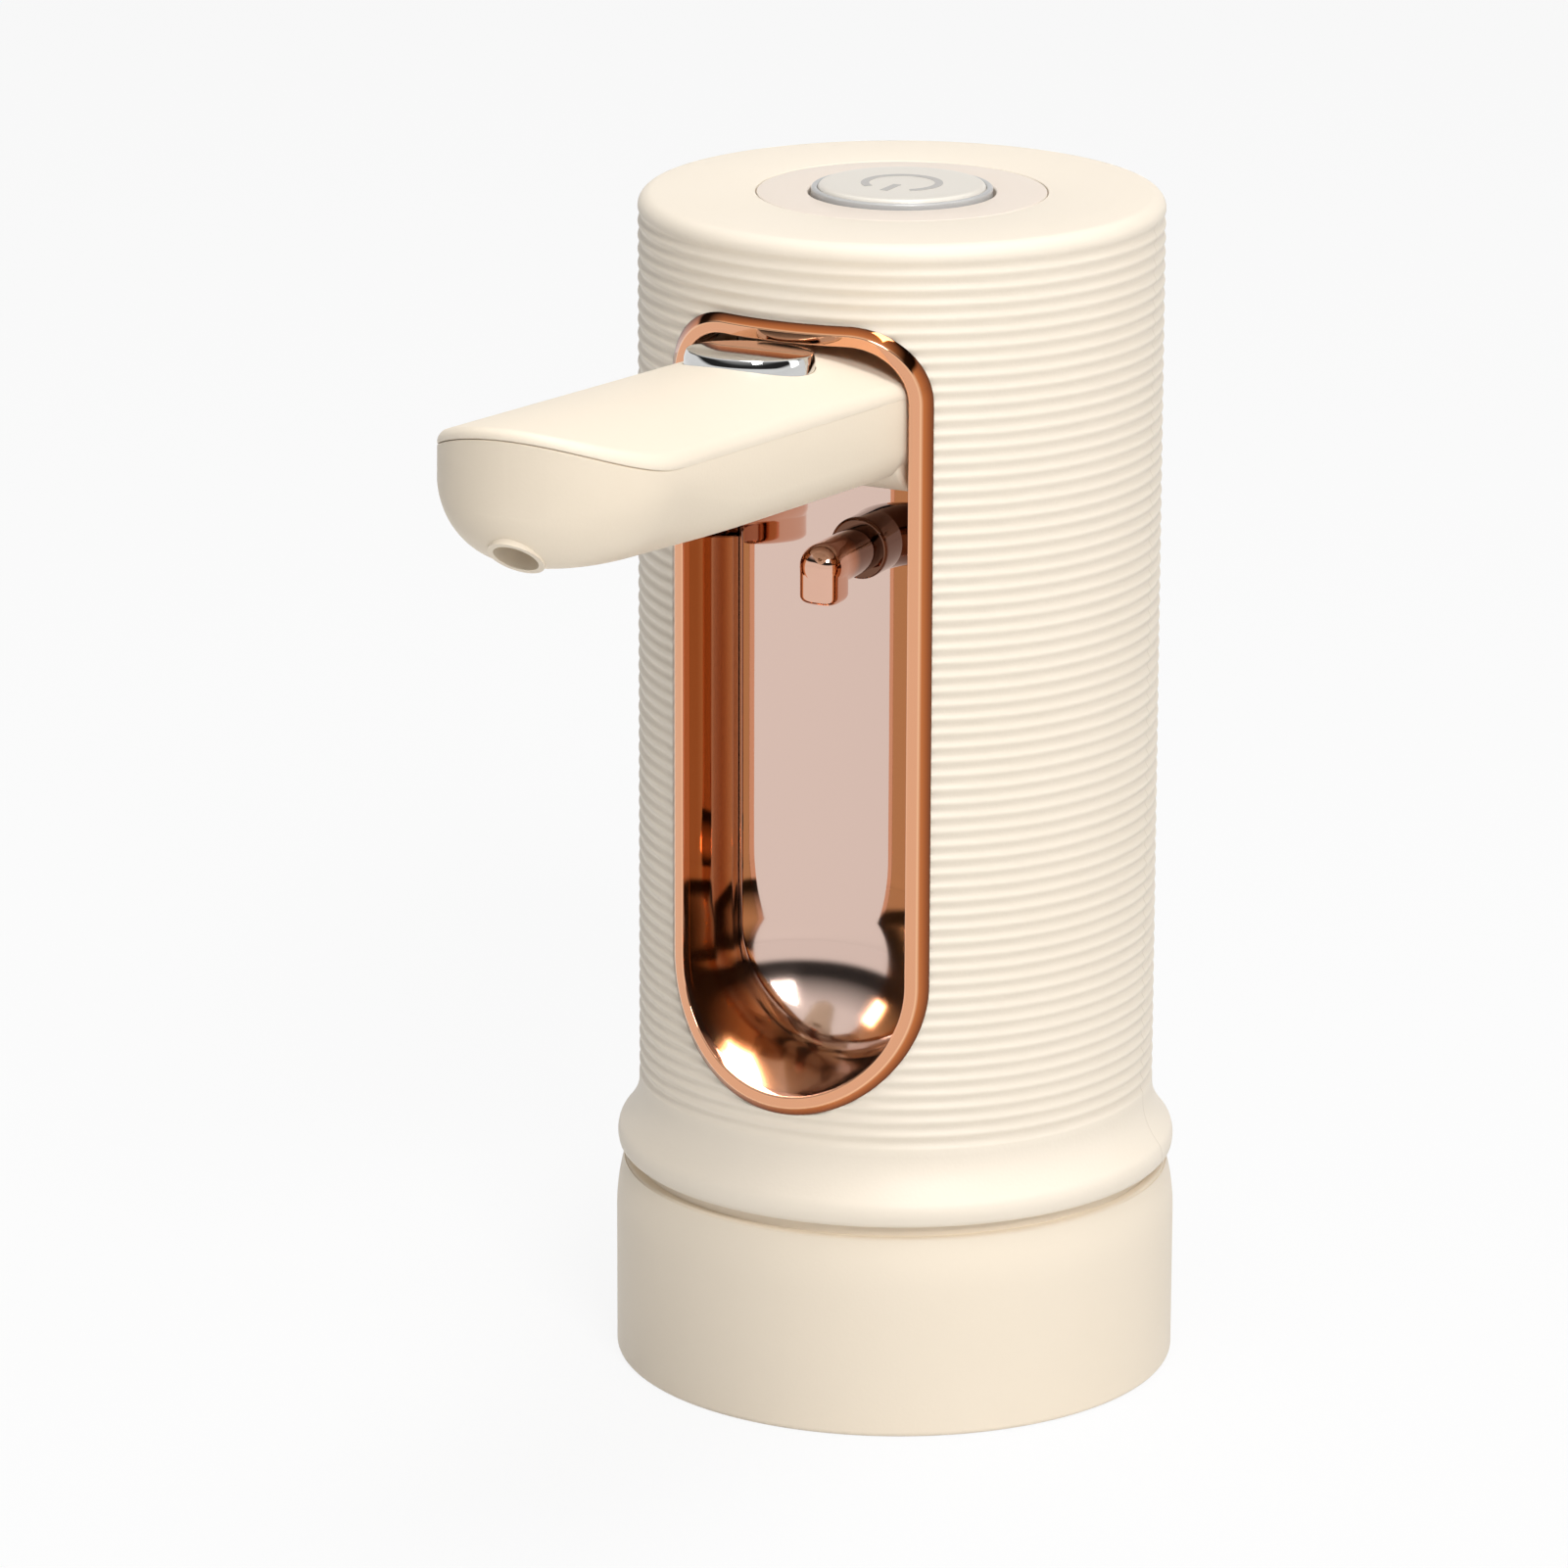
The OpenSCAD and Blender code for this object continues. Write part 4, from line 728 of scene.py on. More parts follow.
BEAD_FLAT = 1.02
BEAD_EDGE = 0.2
BEAD_RIDGE = 0.22
BEAD_DIP = 0.07
BEAD_GAP = 0.05
BEAD_FOOT = LINER_R + BEAD_GAP - BODY_R
SLOPE_FOOT = 0.03
SLOPE_BEND = 1.15
FACE_ANGLE, RIDGE_ANGLE = 94, 42
bead_section = [(0.0, BEAD_FOOT)]
bead_section += arc(BEAD_EDGE, TRIM_RISE - BEAD_DIP - BEAD_EDGE, BEAD_EDGE, 180, FACE_ANGLE, 6)
bead_section += arc(BEAD_FLAT, TRIM_RISE - BEAD_RIDGE, BEAD_RIDGE, FACE_ANGLE, RIDGE_ANGLE, 7)
ridge_x, ridge_h = bead_section[-1]
bead_section += [(float(ridge_x + (TRIM_W - ridge_x) * t),
                  float(SLOPE_FOOT + (ridge_h - SLOPE_FOOT) * (1 - t) ** SLOPE_BEND))
                 for t in np.linspace(0, 1, 9)[1:]]
bead_section += [(LINER_WALL, 0.02), (LINER_WALL, BEAD_FOOT)]
profile_object = new_object("bead_section", [(g, -h, 0) for g, h in bead_section],
                            loop_edges(len(bead_section)), [])
bead_path = niche_outline(0.0, 72, 24, 40)
top_run = [(float(x), NICHE_TOP) for x in np.linspace(CORNER_X, -CORNER_X, 14)[1:-1]]
turn_at = next(i for i, p in enumerate(bead_path) if p[1] > NICHE_TOP - 1e-6) + 1
bead_path = bead_path[:turn_at] + top_run + bead_path[turn_at:]
bead_path = [p for i, p in enumerate(bead_path) if math.dist(p, bead_path[i - 1]) > 1e-6]
bead = new_object("recess_bead", [(x, z, 0) for x, z in bead_path], loop_edges(len(bead_path)), [])
grow(bead, beading, Section=profile_object, Finish=copper_bead,
     **{"Wall radius": BODY_R * MM, "Bead width": TRIM_W * MM})
bpy.data.objects.remove(profile_object)
clean(bead, 40)
dress(bead, copper_bead, "housing", ["trim_frame"])


def swept_bar(name, rows, sides=48, power=2.0):
    """A closed bar along points with their radii. A power above 2 squares its section."""
    path = [Vector(p) for p, r in rows]
    last = len(path) - 1
    tangents = [(path[min(i + 1, last)] - path[max(i - 1, 0)]).normalized() for i in range(len(path))]
    first = Vector((0, 0, 1)) if abs(tangents[0].z) < 0.9 else Vector((1, 0, 0))
    normal = (first - first.dot(tangents[0]) * tangents[0]).normalized()
    points = []
    for i, (_, r) in enumerate(rows):
        if i:
            normal = tangents[i - 1].rotation_difference(tangents[i]) @ normal
        side = tangents[i].cross(normal)
        for k in range(sides):
            a = 2 * math.pi * k / sides
            c, s = math.cos(a), math.sin(a)
            reach = r / (abs(c) ** power + abs(s) ** power) ** (1 / power)
            points.append(path[i] + reach * (c * normal + s * side))
    ends = [list(range(sides)), list(range(last * sides, len(path) * sides))]
    return clean(new_object(name, points, [], faces_between(len(path), sides) + ends), 50)


def bar_between(name, start, end, r, sides=64):
    """A plain cutter between two points."""
    return swept_bar(name, [(start, r), (end, r)], sides)


def rounded_ends(length, r, edge, tail=True, steps=8):
    """Places and radii of a bar whose ends are rounded by the edge's radius."""
    rows = [(edge - edge * math.cos(a), r - edge + edge * math.sin(a))
            for a in np.linspace(0, math.pi / 2, steps + 1)]
    body = [(float(t), r) for t in np.linspace(edge, length - edge, 14)[1:-1]]
    end = [(length - s, q) for s, q in rows[::-1]] if tail else [(length, r)]
    return rows + body + end


# Hook: a thick root on the recess's back, a rod to the front with a domed end, and a flat-sided peg below it
HOOK_Z = 84.8
HOOK_R = 2.3
HOOK_DOME = 2.0
HOOK_ROOT_R = 3.1
HOOK_ROOT_EDGE = 0.35
HOOK_ROOT_FRONT = 9.3
PEG_FRONT = 16.7
PEG_R = 2.1
PEG_DROP = 3.6
PEG_EDGE = 0.8
PEG_INTO_ROD = 1.0
PEG_SQUARE = 3.4
HOOK_INTO_BACK = 0.3
HOOK_FROM = NICHE_AXIS - NICHE_BACK_R - HOOK_INTO_BACK
rod_len = PEG_FRONT + HOOK_R - HOOK_FROM
root_len = HOOK_ROOT_FRONT - HOOK_FROM
rod_rows = rounded_ends(rod_len, HOOK_R, HOOK_DOME)
root_rows = rounded_ends(root_len, HOOK_ROOT_R, HOOK_ROOT_EDGE, tail=False)
peg_rows = rounded_ends(PEG_DROP + PEG_INTO_ROD, PEG_R, PEG_EDGE)
hook = swept_bar("hook", [((0, s - HOOK_FROM - rod_len, HOOK_Z), r) for s, r in rod_rows])
root = swept_bar("root", [((0, s - HOOK_ROOT_FRONT, HOOK_Z), r) for s, r in root_rows])
peg = swept_bar("peg", [((0, -PEG_FRONT, HOOK_Z - PEG_DROP + s), r) for s, r in peg_rows], power=PEG_SQUARE)
combine(hook, root, "UNION")
combine(hook, peg, "UNION")
clean(hook, 38)
dress(hook, rose_plating_painted_reflection, "housing", ["latch_hook"])

# Spout: made along +Y from the hinge's axis, Z up, then set in place as the opened spout stands
spout_place = (Matrix.Translation(MM * Vector((0, -HINGE_FRONT, HINGE_Z)))
               @ Matrix.Rotation(math.radians(-SPOUT_TILT), 4, "X") @ Matrix.Rotation(math.pi, 4, "Z"))
crown_axis = SPOUT_CROWN - BODY_R
tip_y = SPOUT_LEN - SPOUT_HW
ROOT_END = 6
ROOT_WIDENS = (-0.5, 1.5)
PARTING_GAP = 0.07
PARTING_EDGE = 0.12
PARTING_TIGHT = 0.15
PARTING_OPENS = (tip_y - 1, tip_y + 5)
COVER_EDGE = 0.85
KEEL_EDGE = 2.2
BOW_ROUNDS = (36.0, 54.0)
LEAN_FROM = tip_y - 4
ACROSS = np.sin(np.radians(np.linspace(-90, 90, 65)))


def crown_z(x, r):
    """Height of a round face about the crown's axis."""
    return crown_axis + np.sqrt(r * r - x * x)


def fillet(d, r):
    """How far a rounded edge of radius r falls off at a distance d from the outline."""
    return r - np.sqrt(np.maximum(0.0, r * r - np.maximum(0.0, r - d) ** 2))


def spout_stations(start):
    """Places along the spout with the half width there: straight sides, then the round tip."""
    straight = np.concatenate([np.linspace(start, ROOT_END, 14)[:-1], np.linspace(ROOT_END, tip_y, 34)[:-1]])
    rows = [(a, SPOUT_HW - (SPOUT_HW - BARREL_HW) * (1 - float(smoothstep(*ROOT_WIDENS, a)))) for a in straight]
    for t in np.radians(np.linspace(0, 90, 41)):
        rows.append((tip_y + SPOUT_HW * math.sin(t), SPOUT_HW * math.cos(t)))
    return rows


def edge_distance(x, a, w, start):
    """Distance in plan to the spout's outline."""
    side = SPOUT_HW - math.hypot(x, a - tip_y) if a > tip_y else w - abs(x)
    return max(0.0, side) if start is None else max(0.0, min(side, a - start))


def spout_piece(name, start, top, bottom, round_end):
    """A closed piece between an upper and a lower face over the spout's plan."""
    points, stations = [], spout_stations(start)
    for a, w in stations:
        for face, xs in ((top, ACROSS), (bottom, ACROSS[::-1])):
            for x in (float(s) * w for s in xs):
                points.append((x, a, float(face(x, a, edge_distance(x, a, w, start if round_end else None)))))
    n = 2 * len(ACROSS)
    end = [(k, k + 1, n - 2 - k, n - 1 - k) for k in range(n // 2 - 1)]
    return clean(new_object(name, lean(points), [], faces_between(len(stations), n) + end), 50)


def cover_top(x, a, d):
    """The cover's crown, rounded over the hinge and at its edge."""
    z = crown_z(x, BODY_R)
    if a < 0:
        z = min(z, math.sqrt(SPOUT_CROWN ** 2 - a * a))
    return z - fillet(d, COVER_EDGE)


def parting(a):
    """How open the parting line is: drawn tight along the sides and open round the tip."""
    return PARTING_TIGHT + (1 - PARTING_TIGHT) * float(smoothstep(*PARTING_OPENS, a))


def cover_bottom(x, a, d):
    """The cover's underside along the parting line."""
    return crown_z(x, BODY_R - COVER_T) + fillet(d, PARTING_EDGE * parting(a))


def tray_top(x, a, d):
    """The tray's upper face along the parting line."""
    return crown_z(x, BODY_R - COVER_T - PARTING_GAP * parting(a)) - fillet(d, PARTING_EDGE * parting(a))


def tray_bottom(x, a, d):
    """The tray's keel, rounded wider towards the bow."""
    edge = KEEL_EDGE + (BOW_R - KEEL_EDGE) * float(smoothstep(*BOW_ROUNDS, a))
    return KEEL_R - SPOUT_KEEL - math.sqrt(KEEL_R ** 2 - x * x) + fillet(d, edge)


def lean(points):
    """Draws the tip's front back below the crown."""
    bow_z = BOW_R - SPOUT_KEEL
    moved = []
    for x, a, z in points:
        low = 1 - min(1.0, max(0.0, (z - bow_z) / (SPOUT_CROWN + 1 - bow_z)))
        moved.append((x, a - BOW_LEAN * low * float(smoothstep(LEAN_FROM, SPOUT_LEN, a)), z))
    return moved


DISC_GAP = 0.08
DISC_SINK = 0.8
CUT_REACH = 12
disc_seat = SPOUT_CROWN - DISC_SINK
spout_top = spout_piece("spout_top", -COVER_ROOT, cover_top, cover_bottom, True)
pocket = bar_between("disc_pocket", (0, DISC_AT, disc_seat), (0, DISC_AT, CUT_REACH), DISC_R + DISC_GAP, 96)
combine(spout_top, pocket, "DIFFERENCE")
spout_top.data.transform(spout_place)
clean(spout_top, 40)
dress(spout_top, cream_abs, "spout", ["spout_cover"])

OUTLET_R = 2.25
OUTLET_ANGLE = math.radians(53)
SLOT_HW = 2.9
SLOT_FROM = 10.3
SLOT_TO = 20.4
SLOT_TOP = 1.2
SLOT_FOOT = -9
BARREL_EDGE = 0.5
spout_lower = spout_piece("spout_lower", 0.0, tray_top, tray_bottom, False)
barrel_rows = rounded_ends(2 * BARREL_HW, BARREL_R, BARREL_EDGE)
barrel = swept_bar("barrel", [((s - BARREL_HW, 0, 0), r) for s, r in barrel_rows], 96)
under_cover = bar_between("under_cover", (0, -CUT_REACH, crown_axis), (0, CUT_REACH, crown_axis),
                          BODY_R - COVER_T - PARTING_GAP, 256)
combine(barrel, under_cover, "INTERSECT")
combine(spout_lower, barrel, "UNION")
bow_centre = Vector((0, SPOUT_LEN - BOW_LEAN - BOW_R, BOW_R - SPOUT_KEEL))
outlet_way = Vector((0, math.cos(OUTLET_ANGLE), -math.sin(OUTLET_ANGLE)))
outlet = bar_between("outlet", bow_centre - outlet_way, bow_centre + CUT_REACH * outlet_way, OUTLET_R)
combine(spout_lower, outlet, "DIFFERENCE")
slot = prism("hook_slot", rectangle(SLOT_HW, SLOT_FOOT, SLOT_TOP), SLOT_FROM, SLOT_TO)
combine(spout_lower, slot, "DIFFERENCE")
spout_lower.data.transform(spout_place)
clean(spout_lower, 40)
dress(spout_lower, tray_abs_painted_shade, "spout", ["spout_tray"])

# Chrome disc on the spout, very slightly domed, with a rim that draws in towards a crisp upper edge
RIM_SWEEP = 5.5
RIM_LOW = 11.5
RIM_HIGH = 19
RIM_EDGE = 0.12
disc_top = SPOUT_CROWN + DISC_RISE
rim_foot = SPOUT_CROWN + DISC_GAP
low, high = math.radians(RIM_LOW), math.radians(RIM_HIGH)
disc_section = [(0, disc_seat), (DISC_R, disc_seat)]
disc_section += arc(DISC_R - RIM_SWEEP * math.cos(low), rim_foot - RIM_SWEEP * math.sin(low),
                    RIM_SWEEP, RIM_LOW, RIM_HIGH, 10)
edge_r, edge_z = disc_section[-1]
disc_section += arc(edge_r - RIM_EDGE * math.cos(high), edge_z - RIM_EDGE * math.sin(high),
                    RIM_EDGE, RIM_HIGH + 10, 86, 5)
crown_r, crown_from = disc_section[-1]
disc_section += [(float(r), crown_from + (disc_top - crown_from) * (1 - (r / crown_r) ** 2))
                 for r in np.linspace(crown_r, 0, 14)[1:]]
disc = turned_piece("chrome_disc", disc_section, chrome, 128)
disc.data.transform(spout_place @ Matrix.Translation(MM * Vector((0, DISC_AT, 0))))
dress(disc, chrome, "spout", ["spout_disc"])

# Bezel, button cap, its ring and the printed power mark
BEZEL_HOLE = BUTTON_R + 0.3
BEZEL_SINK = 0.02
BEZEL_EDGE = 0.15
HOLE_EDGE = 0.25
bezel_section = [(BEZEL_HOLE, bezel_seat), (BEZEL_R, bezel_seat)]
bezel_section += arc(BEZEL_R - BEZEL_EDGE, BODY_TOP - BEZEL_SINK - BEZEL_EDGE, BEZEL_EDGE, 0, 90, 4)
bezel_section += arc(BEZEL_HOLE + HOLE_EDGE, BODY_TOP - BEZEL_SINK - HOLE_EDGE, HOLE_EDGE, 90, 180, 4)
bezel = turned_piece("bezel", bezel_section, pink_abs, 128)
dress(bezel, pink_abs, "housing", ["button_bezel"])

RING_W = 0.6
RING_DROP = 0.35
RING_EDGE = 0.2
RING_INNER_EDGE = 0.15
BUTTON_PLAY = 0.05
FLANGE_TOP = bezel_seat - BUTTON_PLAY
FLANGE_T = 1
FLANGE_R = BUTTON_R + 1.35
STUD_R = 1.8
STUD_FOOT = 115.85
CAP_R = BUTTON_R - RING_W - BUTTON_PLAY
CAP_EDGE = 0.5
MARK_RISE = 0.04
cap_top = BUTTON_TOP - MARK_RISE
flange_foot = FLANGE_TOP - FLANGE_T
cap_section = [(0, STUD_FOOT), (STUD_R, STUD_FOOT), (STUD_R, flange_foot), (FLANGE_R, flange_foot),
               (FLANGE_R, FLANGE_TOP), (CAP_R, FLANGE_TOP)]
cap_section += arc(CAP_R - CAP_EDGE, cap_top - CAP_EDGE, CAP_EDGE, 0, 90, 8)
cap_section += [(r, cap_top) for r in (6.5, 5.0, 3.0, 0.0)]
cap = turned_piece("button_cap", cap_section, button_pc, 128)
dress(cap, button_pc, "button", ["power_button"])
ring_top = BUTTON_TOP - RING_DROP
ring_in = BUTTON_R - RING_W
ring_section = [(ring_in, FLANGE_TOP), (BUTTON_R, FLANGE_TOP)]
ring_section += arc(BUTTON_R - RING_EDGE, ring_top - RING_EDGE, RING_EDGE, 0, 90, 5)
ring_section += arc(ring_in + RING_INNER_EDGE, ring_top - RING_INNER_EDGE, RING_INNER_EDGE, 90, 180, 4)
ring = turned_piece("button_rim", ring_section, silver_lacquer, 128)
dress(ring, silver_lacquer, "button", ["button_ring"])

MARK_R = 3.6
MARK_HW = 0.4
MARK_GAP = 38
MARK_SINK = 0.02
BAR_FROM = -MARK_R - 0.5
BAR_TO = -1.0


def flat_band(outer, inner):
    """A thin closed band between two lines of points on the cap's top."""
    n = len(outer)
    points = [(x, y, z) for z in (cap_top - MARK_SINK, cap_top + MARK_RISE) for x, y in outer + inner]
    faces = []
    for i in range(n - 1):
        for base in (0, 2 * n):
            faces.append((base + i, base + i + 1, base + n + i + 1, base + n + i))
        faces.append((i, i + 1, 2 * n + i + 1, 2 * n + i))
        faces.append((n + i, n + i + 1, 3 * n + i + 1, 3 * n + i))
    for i in (0, n - 1):
        faces.append((i, n + i, 3 * n + i, 2 * n + i))
    return points, faces


outer, inner = (arc(0, 0, r, -90 + MARK_GAP, 270 - MARK_GAP, 64) for r in (MARK_R + MARK_HW, MARK_R - MARK_HW))
left, right = ([(x, BAR_FROM), (x, BAR_TO)] for x in (-MARK_HW, MARK_HW))
ring_points, ring_faces = flat_band(outer, inner)
bar_points, bar_faces = flat_band(left, right)
mark_faces = ring_faces + [tuple(len(ring_points) + i for i in f) for f in bar_faces]
mark = clean(new_object("power_mark", ring_points + bar_points, [], mark_faces), 30)
dress(mark, mark_ink, "button")

# Feed hose: a round tube carried along its path, with its wall
hosing, given = node_shape("hose_on_path", [("Outer radius", "Float"), ("Sides", "Int")])
path = add(hosing, "GeometryNodeMeshToCurve", {"Mesh": given["Geometry"]})
outline = add(hosing, "GeometryNodeCurvePrimitiveCircle",
              {"Resolution": given["Sides"], "Radius": given["Outer radius"]})
swept = add(hosing, "GeometryNodeCurveToMesh", {"Curve": path, "Profile Curve": outline})
end_shape(hosing, given, swept)
hose_low, hose_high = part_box("feed_hose")
HOSE_OUTER = 2.3
HOSE_WALL = 0.5
HOSE_BEND = 6.0
hose_x = hose_high.x / MM - HOSE_OUTER
hose_y = (hose_low.y + hose_high.y) / 2 / MM
hose_top = hose_high.z / MM - HOSE_OUTER
hose_path = [(hose_x, hose_y, float(z)) for z in np.linspace(hose_low.z / MM, hose_top - HOSE_BEND, 10)]
hose_path += [(hose_x - HOSE_BEND + x, hose_y, hose_top - HOSE_BEND + z)
              for x, z in arc(0, 0, HOSE_BEND, 0, 90, 14)[1:]]
hose_path += [(float(x), hose_y, hose_top) for x in np.linspace(hose_x - HOSE_BEND, hose_low.x / MM, 5)[1:]]
hose = new_object("hose", hose_path, loop_edges(len(hose_path))[:-1], [])
grow(hose, hosing, Finish=hose_pvc, Sides=32, **{"Outer radius": HOSE_OUTER * MM})
clean(hose, 60)
thicken(hose, HOSE_WALL, 60)
dress(hose, hose_pvc, "housing", ["feed_hose"])

# Seal between the hinge block and the spout's barrel: a ribbed plug with a bore, hollowed to the barrel's round
seal_low, seal_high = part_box("feed_seal")
SEAL_R = (seal_high.x - seal_low.x) / 2 / MM
SEAL_RIBS = 3
SEAL_RIB_DEPTH = 0.18
SEAL_END = 0.1
FEED_R = 1.1
FEED_FLARE = 0.25
RUN_GAP = 0.3
ROOM_HW = 9
seal_from, seal_to = -seal_high.y / MM, HINGE_FRONT
seal_back = seal_from + 0.02
seal_z = (seal_low.z + seal_high.z) / 2 / MM
seal_section = [(FEED_R, seal_to), (FEED_R + FEED_FLARE, seal_back), (SEAL_R - SEAL_RIB_DEPTH, seal_back)]
for f in np.linspace(seal_from + SEAL_END, seal_to - SEAL_END, 49):
    phase = 2 * math.pi * SEAL_RIBS * (f - seal_from) / (HINGE_FRONT - BARREL_R - RUN_GAP - seal_from)
    seal_section.append((SEAL_R - SEAL_RIB_DEPTH * (0.5 + 0.5 * math.cos(phase)), float(f)))
seal_section.append((SEAL_R - SEAL_RIB_DEPTH, seal_to))
seal = turned_piece("feed_seal_plug", seal_section, dark_silicone, 64)
seal.data.transform(Matrix.Translation(MM * Vector((0, 0, seal_z))) @ Matrix.Rotation(math.pi / 2, 4, "X"))
barrel_room = bar_between("barrel_room", (-ROOM_HW, -HINGE_FRONT, HINGE_Z), (ROOM_HW, -HINGE_FRONT, HINGE_Z),
                          BARREL_R + RUN_GAP, 128)
combine(seal, barrel_room, "DIFFERENCE")
clean(seal, 40)
dress(seal, dark_silicone, "housing", ["feed_seal"])

# Short sleeve between the manifold and the pump: a tube with three soft folds
sleeve_low, sleeve_high = (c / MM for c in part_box("inlet_sleeve"))
SLEEVE_R = (sleeve_high.x - sleeve_low.x) / 2
SLEEVE_WALL = 0.5
SLEEVE_FOLDS = 3
FOLD_DEPTH = 0.14
FOLD_FROM = 0.2
FOLD_SPAN = 0.6
INSIDE = 0.01
folds = []
for t in np.linspace(0, 1, 37):
    fold = SLEEVE_FOLDS * math.pi * max(0.0, min(1.0, (t - FOLD_FROM) / FOLD_SPAN))
    height = sleeve_low.z + INSIDE + (sleeve_high.z - sleeve_low.z - 2 * INSIDE) * t
    folds.append((SLEEVE_R - FOLD_DEPTH * math.sin(fold) ** 2 - 2 * INSIDE, float(height)))
inlet_section = folds + [(r - SLEEVE_WALL, z) for r, z in folds[::-1]]
inlet = turned_piece("inlet_tube", inlet_section, silicone, 64)
inlet_at = Vector(((sleeve_low.x + sleeve_high.x) / 2, (sleeve_low.y + sleeve_high.y) / 2, 0))
inlet.data.transform(Matrix.Translation(MM * inlet_at))
dress(inlet, silicone, "housing", ["inlet_sleeve"])

# Inside the charging port: a tongue with a row of contacts on each side
port_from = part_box("charge_port")[0].y / MM
TONGUE_FROM = 0.5
TONGUE_HW = 3.3
TONGUE_HT = 0.35
TONGUE_OUT = 5.4
TONGUE_EDGE = 0.12
CONTACT_FROM = 0.4
CONTACT_COUNT = 8
CONTACT_PITCH = 0.7
CONTACT_SIZE = (0.34, 4.4, 0.1)
CONTACT_RISE = TONGUE_HT + 0.03
tongue_outline = rectangle(TONGUE_HW, PORT_Z - TONGUE_HT, PORT_Z + TONGUE_HT)
tongue_from = port_from + TONGUE_FROM
tongue = prism("port_tongue", tongue_outline, tongue_from, tongue_from + TONGUE_OUT)
soft = tongue.modifiers.new("edges", "BEVEL")
soft.width, soft.segments, soft.limit_method = TONGUE_EDGE * MM, 3, "ANGLE"
clean(apply_modifiers(tongue), 30)
dress(tongue, black_abs, "housing")
contacts, given = node_shape("contact_rows", [("Count", "Int"), ("Pitch", "Float"), ("Size", "Vector"),
                                              ("Rise", "Float")])
gaps = add(contacts, "ShaderNodeMath", {0: given["Count"], 1: 1.0}, operation="SUBTRACT")
span = add(contacts, "ShaderNodeMath", {0: gaps, 1: given["Pitch"]}, operation="MULTIPLY")
left = add(contacts, "ShaderNodeMath", {0: span, 1: -0.5}, operation="MULTIPLY")
step = add(contacts, "ShaderNodeCombineXYZ", {"X": given["Pitch"]})
blade = add(contacts, "GeometryNodeMeshCube", {"Size": given["Size"]})
both = add(contacts, "GeometryNodeJoinGeometry")
for sign in (1.0, -1.0):
    rise = add(contacts, "ShaderNodeMath", {0: given["Rise"], 1: sign}, operation="MULTIPLY")
    first = add(contacts, "ShaderNodeCombineXYZ", {"X": left, "Z": rise})
    line = add(contacts, "GeometryNodeMeshLine",
               {"Count": given["Count"], "Start Location": first, "Offset": step}, mode="OFFSET")
    placed = add(contacts, "GeometryNodeInstanceOnPoints", {"Points": line, "Instance": blade})
    contacts.links.new(placed.outputs[0], both.inputs[0])
end_shape(contacts, given, both)
port_contacts = new_object("port_contacts", [(0, 0, 0)], [], [])
grow(port_contacts, contacts, Finish=gold_contact, Count=CONTACT_COUNT, Pitch=CONTACT_PITCH * MM,
     Size=MM * Vector(CONTACT_SIZE), Rise=CONTACT_RISE * MM)
contacts_at = Vector((0, port_from + CONTACT_FROM + TONGUE_OUT / 2, PORT_Z))
port_contacts.data.transform(Matrix.Translation(MM * contacts_at))
clean(port_contacts, 30)
dress(port_contacts, gold_contact, "housing")


# Stage: a pale floor in a white studio with a darker ceiling
def seen_directly(tree):
    """1 for rays on which the backdrop shows as plain white, else 0."""
    path = add(tree, "ShaderNodeLightPath").outputs
    rays = path["Is Camera Ray"]
    for kind in ("Is Glossy Ray", "Is Transmission Ray"):
        rays = add(tree, "ShaderNodeMath", {0: rays, 1: path[kind]}, operation="MAXIMUM")
    return rays


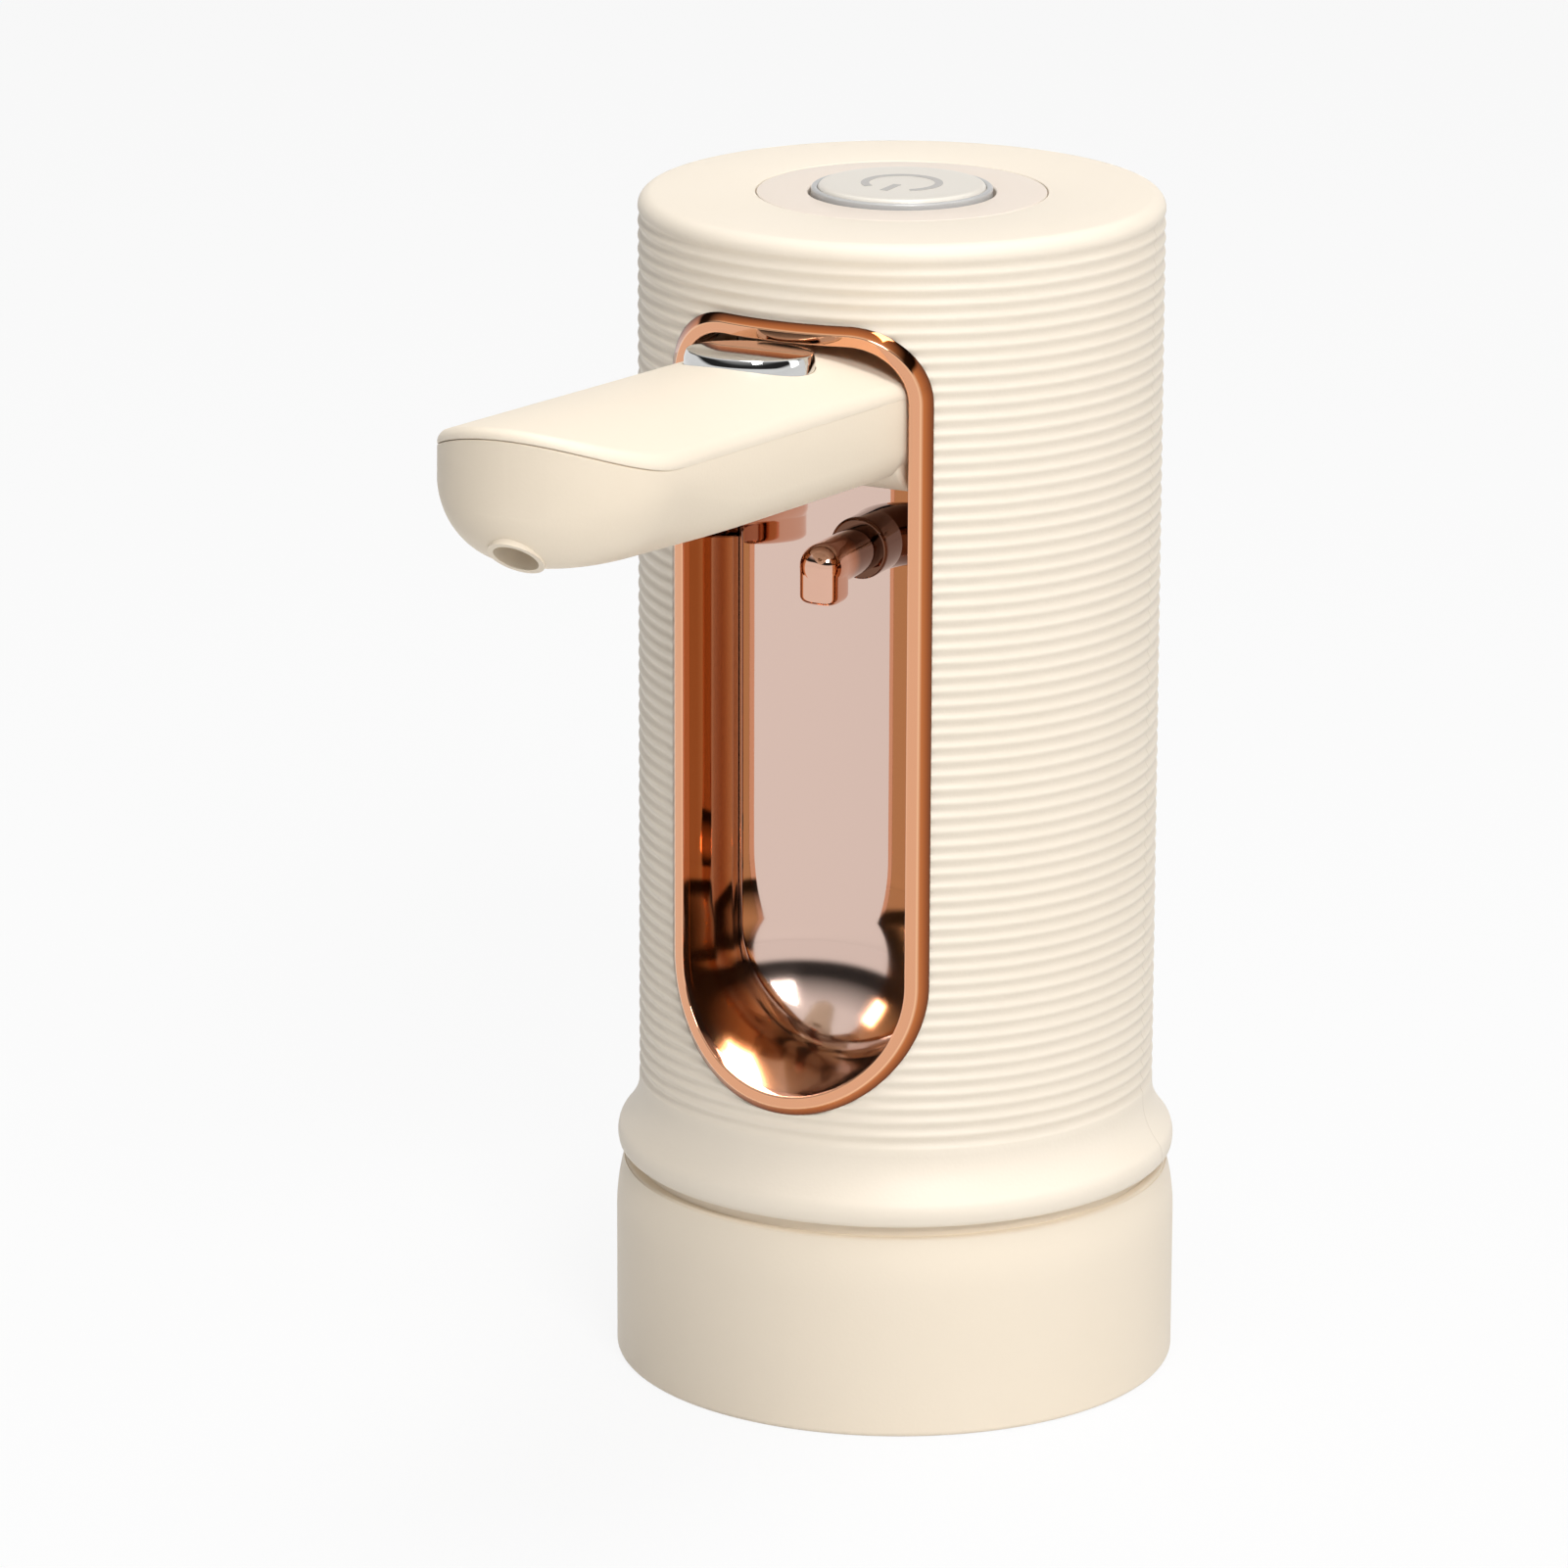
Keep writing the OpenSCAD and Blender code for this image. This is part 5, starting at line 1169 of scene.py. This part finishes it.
WHITE = (1, 1, 1, 1)
FLOOR_SIDE = 6.0
FLOOR_WHITE = 0.88
FLOOR_GREY = (0.75, 0.75, 0.75, 1)
floor = new_object("floor", [(x * FLOOR_SIDE / MM, y * FLOOR_SIDE / MM, 0)
                             for x, y in ((-1, -1), (1, -1), (1, 1), (-1, 1))], [], [(0, 1, 2, 3)])
floor_finish = bpy.data.materials.new("floor_paper")
tree = emptied(floor_finish)
paper = add(tree, "ShaderNodeBsdfDiffuse", {"Color": FLOOR_GREY})
bright = add(tree, "ShaderNodeEmission", {"Color": WHITE, "Strength": 1.0})
lift = add(tree, "ShaderNodeMath", {0: seen_directly(tree), 1: FLOOR_WHITE}, operation="MULTIPLY")
blend = add(tree, "ShaderNodeMixShader", {0: lift, 1: paper, 2: bright})
add(tree, "ShaderNodeOutputMaterial", {"Surface": blend})
floor.data.materials.append(floor_finish)

AMBIENT = 0.31
CEILING = [(0.0, 0.95), (0.2, 0.95), (0.26, 0.02), (0.4, 0.03), (0.52, 0.4), (0.7, 0.95), (1.0, 1.0)]
world = bpy.data.worlds.new("studio")
bpy.context.scene.world = world
tree = emptied(world)
way = add(tree, "ShaderNodeTexCoord").outputs["Generated"]
height = add(tree, "ShaderNodeSeparateXYZ", {"Vector": way}).outputs["Z"]
ceiling = add(tree, "ShaderNodeFloatCurve", {"Value": height})
curve = ceiling.mapping.curves[0]
while len(curve.points) < len(CEILING):
    curve.points.new(0.5, 0.5)
for point, spot in zip(curve.points, CEILING):
    point.location = spot
    point.handle_type = "VECTOR"
ceiling.mapping.update()
ambient = add(tree, "ShaderNodeBackground", {"Color": WHITE, "Strength": AMBIENT})
white = add(tree, "ShaderNodeBackground", {"Color": WHITE, "Strength": ceiling.outputs["Value"]})
blend = add(tree, "ShaderNodeMixShader", {0: seen_directly(tree), 1: ambient, 2: white})
add(tree, "ShaderNodeOutputWorld", {"Surface": blend})

# Soft boxes: name, place, size and power, in metres and watts; each looks at the body's middle
BODY_MIDDLE = Vector((0, 0, 0.06))
SOFT_BOXES = [
    ("key", (0.68, -0.78, 0.82), 0.34, 8.1),
    ("top", (0.12, -0.1, 1.2), 0.42, 7.1),
    ("side", (1.0, 0.45, 0.45), 0.4, 0.9),
]
for name, place, side, power in SOFT_BOXES:
    lamp = bpy.data.lights.new(name, "AREA")
    lamp.shape = "SQUARE"
    lamp.size = side
    lamp.energy = power
    box = in_scene(name, lamp)
    box.location = place
    box.rotation_euler = (BODY_MIDDLE - Vector(place)).to_track_quat("-Z", "Y").to_euler()

bpy.context.scene.view_settings.view_transform = "Standard"
